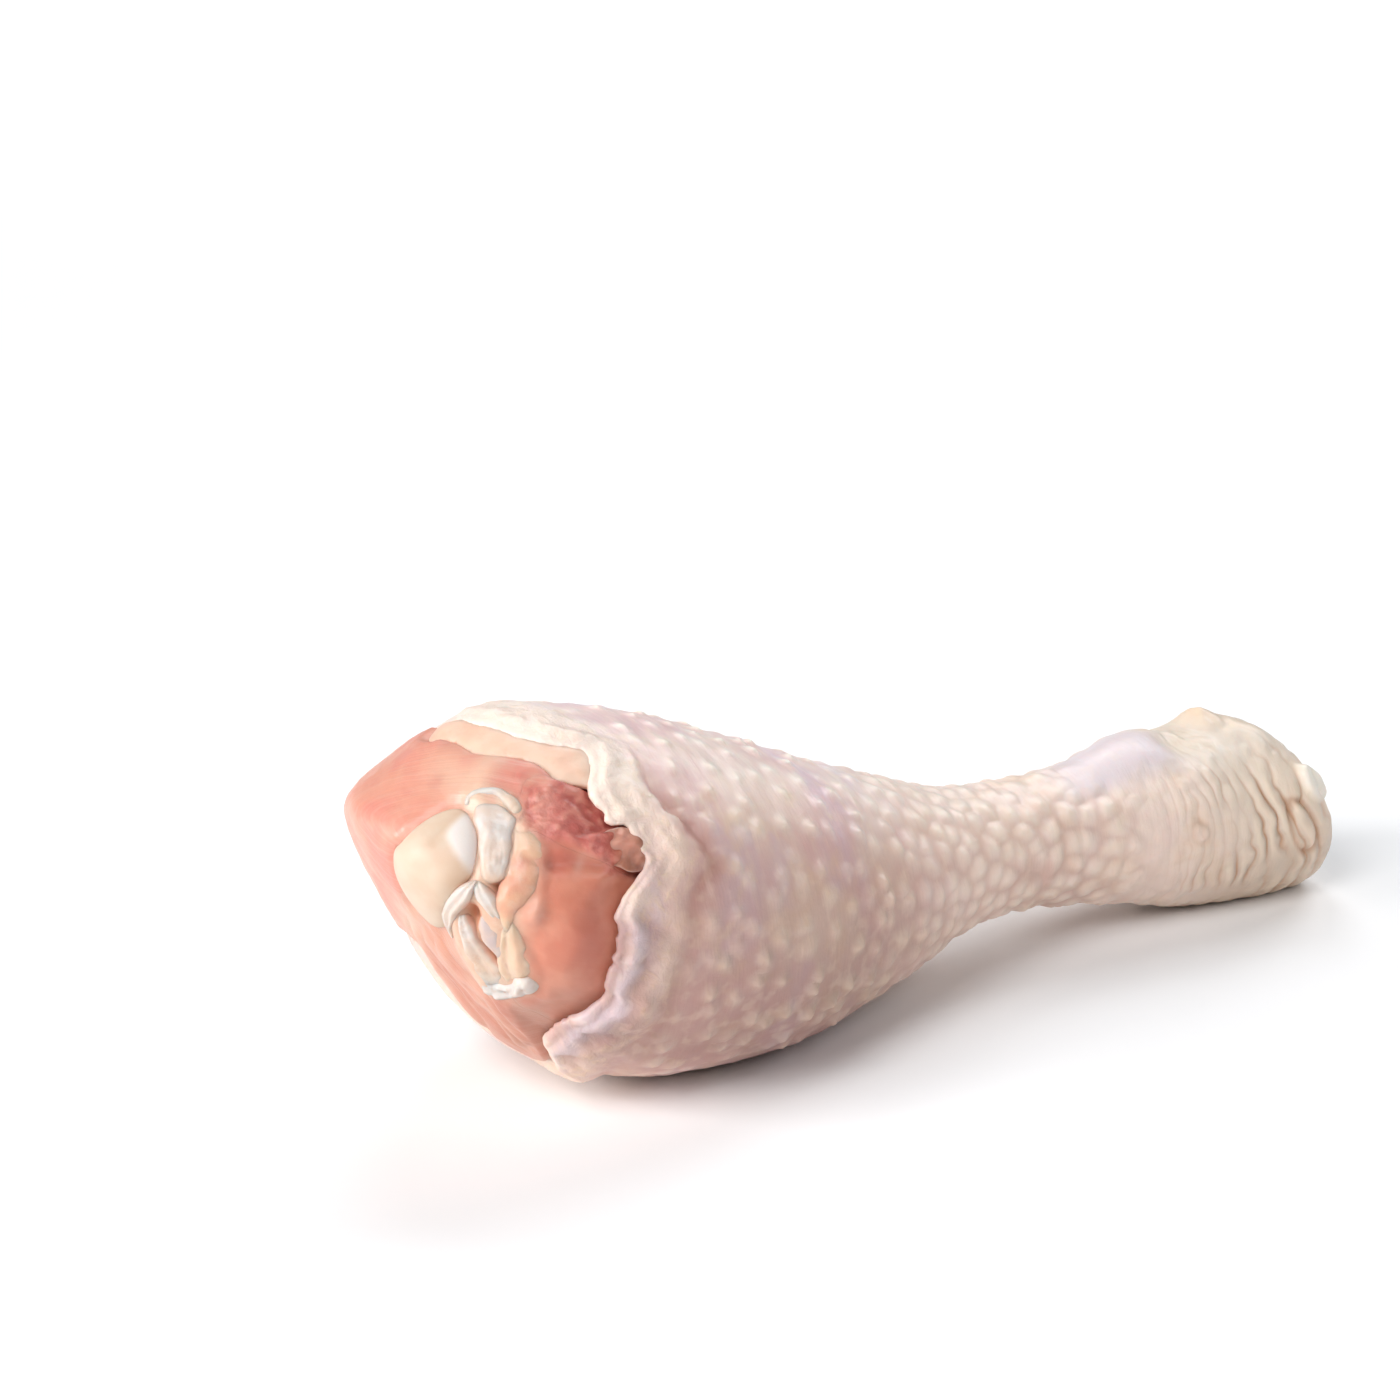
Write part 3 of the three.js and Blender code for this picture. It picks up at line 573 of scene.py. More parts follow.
    # The tendon's bulge, the hollow past it, and the lumps and flaps at the very end.
    height += 1.25 * mound_at(along, angle, TENDON_BULGE, 8, 26)
    height -= mound_at(along, angle, TENDON_HOLLOW, 3.6, 17)
    height -= 0.40 * angle_bell(angle, 50, 8) * rise(along, 104, 8) * fall(along, 124, 6)
    flap = mound_at(along, angle, FLAP, 2.4, 14)
    height += flap * (1.5 + 0.9 * noise(at, 1.6, 41))
    tag = fall(oval_at(along, angle, TAG, 2.6, 15), 0.6, 0.4)
    height += tag * (1.15 + 0.3 * noise(at, 1.4, 42))
    oval = oval_at(along, angle, OVAL, 1.8, 15)
    height += 0.40 * fall(oval, 0.7, 0.5) - 0.36 * bell(oval - 1.15, 0.16)
    small = oval_at(along, angle, SMALL_OVAL, 1.2, 6.5)
    height += 0.30 * fall(small, 0.6, 0.5) - 0.12 * bell(small - 1.15, 0.25)
    fine = wrinkles(at, 2.2, 43, 0.5 * noise(at, 2.5, 44), (1.0, 0.6, 1.2))
    height += 0.17 * fine * rise(along, HOCK, 12) * (1 - 0.6 * front_hock) * (1 - tendon)

    # What the material needs. dome and ground: the follicles' pale tops and the ground between them, partly
    # their own colours and partly a painted highlight and painted shade; shaded: a painted shadow beside each
    # follicle.
    dome = (1 - shank) * (0.7 * peak + 0.5 * mound + 0.3 * low_front * wide) + 0.5 * shank * cobble
    ground = (1 - shank) * rise(drop, 0.9, 1.1) + shank * (1 - cobble) ** 2
    crest = 0.5 + 0.9 * pleats + 0.4 * bell(wander - 0.55 * valley, 2)
    marks = {
        "along": along,
        "behind": behind,
        "up": np.degrees(np.arcsin(np.sin(np.radians(angle)))),
        # Painted shade on the low front of the skin, next to the torn edge.
        "low_edge_shade": angle_window(angle, -55, 8, 10) * fall(behind, 2, 3.5),
        "dome": np.clip(dome * present, 0, 1),
        "ground": np.clip(ground * present, 0, 1),
        "shaded": np.clip(shaded * (1 - 0.6 * shank) * present, 0, 1),
        "phase": phase,
        "creased": creased * rise(along, 112, 10),
        # dip: painted shade in the cuff's valley and its small crease; roll: a painted highlight on the
        # cuff's crests.
        "dip": np.clip(dip + 0.8 * fold, 0, 1),
        "roll": np.clip(front * bell(behind - 2.5, 3.2) * crest, 0, 1),
        "lilac": np.clip(tendon + 0.7 * inner_roll, 0, 1),
        "gold": np.clip(flap, 0, 1),
        # outline: tan painted shade in the groove round each oval.
        "outline": np.clip(0.8 * bell(oval - 1.15, 0.2) + 0.3 * bell(small - 1.1, 0.4), 0, 1),
        "tag": tag,
    }
    return height, marks


def build_skin(settings):
    """The skin is a sleeve: outside, ankle lip, inside and torn edge are one loop of rows that closes on
    itself. Rows follow the torn edge and relax into even rings by EDGE_FADES_BY. Both edges are half
    rounds."""
    columns = settings.columns
    angle = np.arange(columns) * 360 / columns - 180
    edge = torn_edge(angle)
    at_back = 1 - in_front(angle)
    turn = np.linspace(0, np.pi, 6)[1:-1, None]

    def follow(rows):
        """Rows that take on the torn edge's shape near it."""
        rows = rows[:, None]
        return rows + (edge - MEAN_EDGE) * (1 - smooth((rows - MEAN_EDGE) / (EDGE_FADES_BY - MEAN_EDGE)))

    def half_round(start, end):
        """Heights over half a turn: the middle and half the difference times the cosine."""
        return (start + end) / 2 + (start - end) / 2 * np.cos(turn)

    fine = np.array([0, 0.12, 0.3, 0.55, 0.85, 1.2])
    evenly = np.linspace(0, 1, settings.rows - len(fine))
    rows = np.concatenate([MEAN_EDGE + fine, through(evenly, (0, 0.58, 1), (MEAN_EDGE + 1.6, 108, LIP))])
    along = follow(rows)
    height, marks = skin_relief(along, np.tile(angle, (len(rows), 1)), edge, settings)
    near_rim = smooth(1 - (along - edge) / 1.1)
    height = height * (1 - near_rim) + near_rim * (height[:1] * 0.75 - 0.15)
    hugging = at_back * fall(along, edge, 6)
    height -= 0.4 * hugging
    height -= 0.35 * smooth(1 - (LIP - along) / 1.6)

    lip_along = LIP + 0.75 * np.sin(turn) * np.ones(columns)
    lip = half_round(height[-1], -SKIN_THICKNESS * np.ones(columns))

    rows = np.concatenate([
        MEAN_EDGE + np.array([0, 0.3, 0.8, 1.6, 2.8, 5]),
        [30, 38, 48, 60, 74, 88, 102, 117, 132, 141, 145.5, 148, 149.5, LIP],
    ])[::-1]
    thin = 0.25 * noise(form_point(np.full(columns, MEAN_EDGE), angle), 4, 51)
    thin = thin + 0.35 * angle_bell(angle, 28, 24) - 0.25 * angle_window(angle, 60, 118, 12)
    fade = smooth((rows[:, None] - MEAN_EDGE) / 8)
    inner_along = follow(rows)
    inner = -((SKIN_THICKNESS - thin) * (1 - fade) + SKIN_THICKNESS * fade)
    inner = inner + 0.15 * noise(form_point(inner_along, angle), 2.5, 52) * (1 - fade)
    inner += 0.45 * at_back * fall(inner_along, edge, 6)

    half = (height[0] - inner[-1]) / 2
    rim_along = edge - 0.6 * half / 0.7 * np.sin(turn)
    parts = ((along, height, 0.0), (lip_along, lip, 0.6), (inner_along, inner, 1.0),
             (rim_along, half_round(inner[-1], height[0]), 0.4))
    all_along, all_height = (np.concatenate([part[k] for part in parts]) for k in (0, 1))
    full, count, unseen = {}, len(turn), np.zeros_like(inner)
    for key, values in marks.items():
        lip, rim = np.repeat(values[-1:], count, 0), np.repeat(values[:1], count, 0)
        full[key] = np.concatenate([values, lip, unseen, rim])
    full["along"], full["behind"] = all_along, all_along - edge
    full["inner"] = np.concatenate([np.full(part[0].shape, part[2]) for part in parts])
    points = leg_point(all_along, angle, all_height)
    return points.reshape(-1, 3), ring_faces(len(points), columns, True), full


# Meat.

def chart(along, angle):
    """The flat map of the knee end: right is the front, up is the top, the bone's head is at 0, 0."""
    return along * np.cos(np.radians(angle)), along * np.sin(np.radians(angle))


def spot(p, q, centre, long, short, lean=0.0):
    """A soft oval patch on the flat map, 1 in its middle, leaning by that many degrees from upright."""
    c, s = math.cos(math.radians(lean)), math.sin(math.radians(lean))
    dp, dq = p - centre[0], q - centre[1]
    return np.exp(-(((dp * s + dq * c) / long) ** 2 + ((dp * c - dq * s) / short) ** 2))


def from_line(p, q, line):
    """Distance on the flat map to a broken line, as the least over its pieces."""
    best = np.full(np.shape(p), 1e9)
    for (ax, ay), (bx, by) in zip(line[:-1], line[1:]):
        dx, dy = bx - ax, by - ay
        t = np.clip(((p - ax) * dx + (q - ay) * dy) / (dx * dx + dy * dy), 0, 1)
        best = np.minimum(best, np.hypot(p - ax - t * dx, q - ay - t * dy))
    return best


def spots(p, q, rows):
    """The sum of oval patches, each row a share, right, up, long, short and lean."""
    return sum(row[0] * spot(p, q, row[1:3], *row[3:]) for row in rows)


def off_chart(p, q):
    """Back from the flat map to along and angle."""
    return np.hypot(p, q), np.degrees(np.arctan2(q, p))


# Lines and oval patches on the flat map: bands of tissue, the furrow under the red muscle, the lip under the
# joint, lumps and dents, and patches of colour. The patches are partly the meat's own colour and partly
# painted light. The deep ones are partly bloody and partly painted shade by the furrow and near the skin's
# edge. The thin pale one on the calf muscle is a painted highlight. The first ochre one is painted shade in a
# groove under the bone's head.
FASCIA = [
    [(-3.0, -10.8), (-1.7, -12.1), (1.7, -12.9), (4.9, -16.3)],
    [(-4.5, -10.5), (-0.4, -13.5), (2.4, -14.3), (3.3, -17.1)],
    [(-6.6, -10.4), (-5.6, -13.2), (-2.6, -16.4)],
]
FURROW = [(12.6, 9.6), (14.6, 10.6), (17.4, 10.9), (22.5, 11.2)]
LOWER_LIP = [(1.4, -5.6), (2.0, -9.2), (4.4, -12.2), (8.2, -10.8), (12.4, -8.0)]
LUMPS = [
    (0.8, 16.5, 1.5, 8.0, 5.0, 0), (0.6, 12.2, 3.3, 1.9, 1.0, 10), (-0.5, 11.0, -1.8, 2.2, 1.2, -10),
    (0.6, 1.0, 16.2, 2.2, 7.0, 85), (0.4, 5.0, -13.5, 1.6, 3.0, 70),
]
STAINS_AND_PAINTED_LIGHT = {
    "peach": [(1, 0.4, 15.2, 1.9, 6.5, 86), (0.8, -3.2, 13.2, 2, 2.6, 0), (0.9, -6.6, -9.6, 3.0, 1.6, 60),
              (0.6, 0.8, -9.4, 2.6, 1.0, 10)],
    "deep": [(0.8, 12.6, 12.0, 2.2, 4.0, 70), (0.7, 18.4, 2.2, 6.5, 2.4, 0), (0.5, 5.0, -12.2, 0.8, 1.8, 70),
             (0.4, -3.8, 12.2, 1.0, 0.7, 0)],
    "pale": [(0.9, 15.0, -9.0, 4.5, 4.0, 40), (0.8, 9.4, -13.0, 3.5, 3.0, 60), (1, 15.4, 10.2, 0.5, 1.3, 90),
             (0.9, 12.2, 3.3, 1.6, 0.8, 10), (0.7, 8.6, 15.6, 1.8, 3.2, 70)],
    "ochre": [(0.5, -2.6, -9.0, 0.7, 2.0, 60), (0.6, 19.6, 14.2, 3.2, 1.5, -10)],
}
# The pale tissue that the joint's pieces lie in.
JOINT_BED = [
    (-0.3, 12.6), (1.3, 14.3), (4.8, 15.0), (6.6, 14.2), (8.6, 12.4), (11.2, 11.2), (12.4, 8.6),
    (12.4, 6.1), (12.6, 3.1), (11.8, 0.4), (11.6, -3.1), (12.0, -5.5), (10.7, -8.4), (6.8, -10.4),
    (2.2, -12.1), (1.1, -10.5), (0.5, -8.8), (0.0, -7.0), (1.5, -3.0), (3.9, 4.0), (3.3, 8.8),
    (1.1, 11.4),
]
# The bone's head on the flat map: its middle, how much its width is stretched there, and its outline as
# direction and distance from the middle.
HEAD_MIDDLE = (-0.6, 1.0)
HEAD_STRETCH = 2.2
HEAD_OUTLINE = np.array([
    (-180, 5.7), (-160, 7.6), (-140, 11.6), (-120, 11.0), (-100, 9.3), (-80, 8.0), (-60, 7.0), (-40, 6.9),
    (-20, 7.5), (0, 8.9), (20, 11.0), (40, 11.9), (60, 11.2), (80, 10.3), (100, 9.1), (120, 7.8),
    (140, 6.6), (160, 5.8),
])
# The fat pad: angle, lower edge, upper edge.
FAT_EDGES = np.array([
    (128, 16.8, 22.4), (121, 16.5, 23.0), (114, 17.2, 23.2), (101, 16.6, 23.4), (92, 17.2, 23.8),
    (86.5, 17.8, 24.4), (79, 19.2, 26.0), (76.7, 19.6, 26.6), (71, 19.7, 27.6), (65.7, 20.0, 28.0),
    (61.2, 21.5, 28.0), (56.5, 23.2, 27.0),
])
FAT_FROM, FAT_TO = FAT_EDGES[0, 0], FAT_EDGES[-1, 0]


def fat_edge(angle, column):
    """The fat pad's lower (1) or upper (2) edge at each angle."""
    return through(-np.clip(angle, FAT_TO, FAT_FROM), -FAT_EDGES[:, 0], FAT_EDGES[:, column])


def inside(p, q, outline, soft):
    """1 inside a closed outline on the flat map and 0 outside it, with an S-curve across it. Which side a
    place lies on follows from how many of the outline's lines a level ray from it crosses."""
    odd = np.zeros(np.shape(p), bool)
    for (ax, ay), (bx, by) in zip(outline, outline[1:] + outline[:1]):
        odd ^= ((ay > q) != (by > q)) & (p < ax + (q - ay) * (bx - ax) / (by - ay))
    distance = from_line(p, q, outline + outline[:1])
    return smooth(0.5 + np.where(odd, distance, -distance) / soft)


def head_share(p, q):
    """How far out a place on the flat map lies from the head's middle: 1 on its outline."""
    u, v = (p - HEAD_MIDDLE[0]) * HEAD_STRETCH, q - HEAD_MIDDLE[1]
    return np.hypot(u, v) / round_through(np.degrees(np.arctan2(v, u)), HEAD_OUTLINE)


def meat_relief(along, angle):
    """The bare meat's height: lumps, a seat for the bone's head with a lip round it, pockets under the
    ligaments, grain on the red muscle, a furrow under it, bands on the lower muscle, and less height under
    the fat and towards the skin. Also gives marks for the material: shares of each muscle's colour, which
    blend."""
    at = form_point(along, angle)
    p, q = chart(along, angle)
    angle = turned(angle)
    soft = np.clip(130 / np.maximum(along, 4), 5, 24)
    wobble = 5 * noise(at, 3.5, 60) + 2.5 * noise(at, 1.4, 64)

    def past(seam):
        """From 0 to 1 across a wobbling seam."""
        return smooth((angle - seam + wobble) / soft + 0.5)

    past_red_calf, past_calf_under = past(through(along, *SEAM_RED_CALF.T)), past(CALF_UNDER)
    red = past_red_calf * (1 - past(through(along, *SEAM_SHIN_RED.T)))
    calf = past_calf_under * (1 - past_red_calf)
    under = smooth((angle - UNDER_SHIN) / soft + 0.5) * (1 - past_calf_under)
    grains, granules = rough(at, 1.5, 63, 3), noise(at, 0.9, 67) * red
    height = 0.20 * noise(at, 8, 61) + 0.10 * noise(at, 2.8, 62)
    height += red * (0.20 * grains + 0.25) + (1 - red) * 0.05 * rough(at, 1.4, 65, 2) + 0.20 * granules

    head = head_share(p, q)
    bed = inside(p, q, JOINT_BED, 1.6)
    height += 0.30 * bed * (1 + 0.6 * noise(at, 1.8, 66))
    height -= 0.50 * bell(head - 1.02, 0.14) + 4.2 * fall(head, 0.86, 0.11)
    pocket = spot(p, q, (4.1, -3.3), 2.2, 0.95, 22)
    hole = spot(p, q, (5.4, -6.6), 1.25, 0.8, -25)
    triangle = spot(p, q, (7.6, 4.0), 1.2, 1.0)
    furrow = bell(from_line(p, q, FURROW), 1.0)
    height += spots(p, q, LUMPS) - 2.1 * pocket - 1.9 * hole - 1.7 * triangle - 0.55 * furrow
    height += 0.5 * bell(from_line(p, q, LOWER_LIP), 1.1)
    bands = np.minimum.reduce([from_line(p, q, line) for line in FASCIA])
    height += 0.25 * bell(bands, 0.5) - 0.28 * bell(bands - 1.1, 0.5)
    height -= 1.25 * smooth((along - fat_edge(angle, 1) + 0.2) / 1.2) * angle_window(angle, 60, 124, 7)

    grainy = 0.25 + 0.5 * grains + 0.8 * granules + 0.5 * spot(p, q, (8.6, 13.4), 2.5, 2.5)
    # Patches of colour: partly the meat's own and partly painted shade and a painted highlight.
    stains = {name: spots(p, q, rows) for name, rows in STAINS_AND_PAINTED_LIGHT.items()}
    marks = {
        "red": red,
        "calf": calf,
        "under": under,
        "peach": stains["peach"],
        # deep: bloody patches, with painted shade in and by the furrow and near the skin's edge.
        "deep": stains["deep"] + 0.7 * furrow,
        # pale: washed-out patches and one painted highlight on the calf muscle.
        "pale": stains["pale"],
        "bed": bed * (1 - 0.75 * rise(p, 9.0, 2.5)) * np.clip(1 + 0.4 * noise(at, 1.6, 69), 0, 1),
        # ochre: partly the joint's own orange-brown and partly painted shade in the dents of the pocket, the
        # hole and the triangle, and in the groove under the bone's head.
        "ochre": stains["ochre"] + pocket + hole + 0.5 * triangle,
        "band": bell(bands, 0.45),
        "grains": np.clip(grainy, 0, 1) * red,
    }
    return height, {name: np.clip(values, 0, 1) for name, values in marks.items()}


# The shin bone behind its head: x, y, z, half width, half height.
BONE = np.array([
    (10.8, -4.1, 37.8, 6.4, 8.4),
    (16, -2.2, 36.2, 5.8, 7.3),
    (26, -0.8, 32.5, 4.6, 5),
    (45, 0, 24.5, 3.6, 3.8),
    (90, 0, 17, 3.3, 3.5),
    (125, 0, 14.2, 4.6, 4.8),
    (149.5, -0.5, 13.4, 6.6, 6.2),
])


def meat_core(along):
    """The line that the muscles lie round: from inside the bone's head, along the bone past the first 20
    mm."""
    x = form_point(along, np.zeros_like(along))[..., 0] + 4 * (1 - smooth(along / 12))
    head, share = form_point(0.0, 0.0), smooth(along / 20)
    y, z = (head[k] + (through(x, BONE[:, 0], BONE[:, k]) - head[k]) * share for k in (1, 2))
    return np.stack([x, y, z], -1)


def wandering(along, seam):
    """A seam's angle along the leg, with 3 degrees of noise that both of its muscles share."""
    place = np.stack([along, seam[:, 1].sum() + 0 * along, 0 * along], -1)
    return through(along, *seam.T) + 3 * noise(place, 2.6, 72) * rise(along, 8, 4)


MUSCLE_ROWS = np.concatenate([
    [0.5, 1.0], np.linspace(1.4, 27, 96),
    [28.5, 30, 34, 38, 43, 48, 54, 60, 67, 74, 81, 88, 95, 102, 110, 117, 125, 132, 137, 141, 143.5, 145.5],
])
# How far the muscles reach over their seams into each other.
SEAM_OVERLAP = 0.08


def build_muscle(seam_from, seam_to, columns):
    """A muscle runs the leg's length between two seams. Each row is an arc under the skin, at the meat's
    height and rounded over towards its two sides, and a short way back beside the core line. Both ends are
    capped."""
    first, last = wandering(MUSCLE_ROWS, seam_from), wandering(MUSCLE_ROWS, seam_to)
    last = np.where(last < first, last + 360, last)
    share = np.linspace(0, 1, columns)
    core = meat_core(MUSCLE_ROWS)
    radius = np.maximum(np.linalg.norm(form_point(MUSCLE_ROWS, first) - core, axis=-1), 1)
    inset = np.degrees(-SEAM_OVERLAP / radius)
    along = np.repeat(MUSCLE_ROWS[:, None], columns, 1)
    angle = (first + inset)[:, None] + (last - first - 2 * inset)[:, None] * share
    height, marks = meat_relief(along, angle)
    shown, behind = in_front(angle), along - round_through(angle, SKIN_EDGE)
    bare = 1 - rise(behind, 1, 3)
    sunk = smooth((behind + 1.0 + 4.5 * shown) / (1.0 + 4.5 * shown))
    under = SKIN_THICKNESS + 0.2 - 0.6 * (1 - shown) * (1 - smooth(behind / 6)) + 0.3 * shown
    near_side = np.minimum(share, 1 - share)[None] * np.radians(last - first)[:, None] * radius[:, None]
    roll = np.clip(1 - near_side / 0.5, 0, 1) ** 2
    height = height * bare - under * sunk - 0.03 * roll * np.clip(along / 12, 0.15, 1)
    arc = leg_point(along, angle, height)
    back_share = np.linspace(1, 0, 8)[1:-1]
    corner_a, corner_b = arc[:, -1], arc[:, 0]
    inner_a, inner_b = core + (corner_a - core) * 0.12, core + (corner_b - core) * 0.12
    back = inner_b[:, None] + (inner_a - inner_b)[:, None] * back_share[None, :, None]
    ring = np.concatenate([arc, inner_a[:, None], back, inner_b[:, None]], 1)
    around = ring.shape[1]
    # Caps: rings that shrink to the middle of the first and the last ring, the last ones with lumps.
    shrink = np.array([0.9, 0.7, 0.45, 0.2, 0.03])
    pads = len(shrink)
    middle_first, middle_last = ring[0].mean(0), ring[-1].mean(0)
    cap_first = middle_first + (ring[0] - middle_first) * shrink[::-1, None, None]
    cap_last = middle_last + (ring[-1] - middle_last) * shrink[:, None, None]
    cap_last[..., 0] += 0.7 * noise(cap_last, 3, 71) - 0.8 * (1 - shrink[:, None])
    rings = np.concatenate([cap_first, ring, cap_last])

    def everywhere(values):
        """The arc's values, and on the way back and on the caps those next to them."""
        full = np.zeros((len(rings), around))
        full[pads:-pads, :columns] = values
        full[pads:-pads, columns:] = values[:, -1:]
        full[:pads], full[-pads:] = full[pads], full[-pads - 1]
        return full

    full = {key: everywhere(values) for key, values in marks.items()}
    full["cut_end"] = np.zeros((len(rings), around))
    full["cut_end"][-pads:] = 1
    across = everywhere(np.radians(angle) * np.maximum(radius, 4)[:, None])
    grain = np.stack([everywhere(along).ravel(), across.ravel()], -1)
    points = rings.reshape(-1, 3)
    return points, outward(points, capped_faces(len(rings), around)), full, grain


# Joint pieces, bone and fat.

def lengths_along(path):
    """How far along a path of points each of them lies."""
    return np.concatenate([[0], np.cumsum(np.linalg.norm(np.diff(path, axis=0), axis=1))])


def crowded(count):
    """Shares from near 0 to near 1 that lie closer together towards both ends."""
    return 0.5 - 0.5 * np.cos(np.linspace(0.02, np.pi - 0.02, count))


def closed_ends(share, fullness):
    """How wide a piece is at a share of its length, as both ends close: (1 - |2s - 1|^fullness)^(1 /
    fullness)."""
    return ((1 - np.abs(2 * share - 1) ** fullness) ** (1 / fullness))[:, None]


def full_turn(around):
    """Evenly spread angles round a ring, in radians."""
    return np.arange(around) * 2 * np.pi / around


def squarish(turn, across, up):
    """The cosine and the sine of a turn, each raised to its own power with its sign kept."""
    c, s = np.cos(turn), np.sin(turn)
    return np.sign(c) * np.abs(c) ** across, np.sign(s) * np.abs(s) ** up


def build_patch(rows, fullness, count, around, square, seed, depth=1.8, ripple=0.1, ripple_size=1.3,
                detail=None):
    """A lump or band on the flat map. Each row gives its left end and right end there, the height in its
    middle and a tone. Rows follow smooth curves; at each stands a squarish ring from end to end, which
    bulges to the height above and to a depth below, and both ends close. A detail function of the share
    along and the side (-1 to 1) and noise add height."""
    rows = np.asarray(rows, float)
    lengths = lengths_along((rows[:, :2] + rows[:, 2:4]) / 2)
    share = crowded(count)
    left_p, left_q, right_p, right_q, high, tone = (
        through(share * lengths[-1], lengths, rows[:, k])[:, None] for k in range(6))
    size, turn, base = closed_ends(share, fullness), full_turn(around), -0.5
    c, s = squarish(turn, 2 / square, 2 / square)
    frayed = 1 + 0.14 * noise(form_point(*off_chart(left_p, left_q)), 1.2, seed + 5)
    p = (left_p + right_p) / 2 + (right_p - left_p) / 2 * size * c * frayed
    q = (left_q + right_q) / 2 + (right_q - left_q) / 2 * size * c * frayed
    along, angle = off_chart(p, q)
    top = high - base + ripple * rough(form_point(along, angle), ripple_size, seed, 2)
    if detail:
        top = top + detail(share[:, None], c[None])
    height = base + np.where(s > 0, top * s, depth * s) * size
    points = leg_point(along, angle, height).reshape(-1, 3)
    marks = {"tone": np.repeat(tone[:, 0], around), "side": np.tile(c, count)}
    grain = np.stack([np.repeat(share * lengths[-1], around), np.tile(turn / (2 * np.pi) * 4, count)], -1)
    return points, outward(points, capped_faces(count, around)), marks, grain


def joined(*parts):
    """Several closed shells as one mesh."""
    points, grains = (np.concatenate([part[k] for part in parts]) for k in (0, 3))
    starts = np.cumsum([0] + [len(part[0]) for part in parts])
    faces = [face + start for part, start in zip(parts, starts) for face in part[1]]
    marks = {key: np.concatenate([part[2][key] for part in parts]) for key in parts[0][2]}
    return points, faces, marks, grains


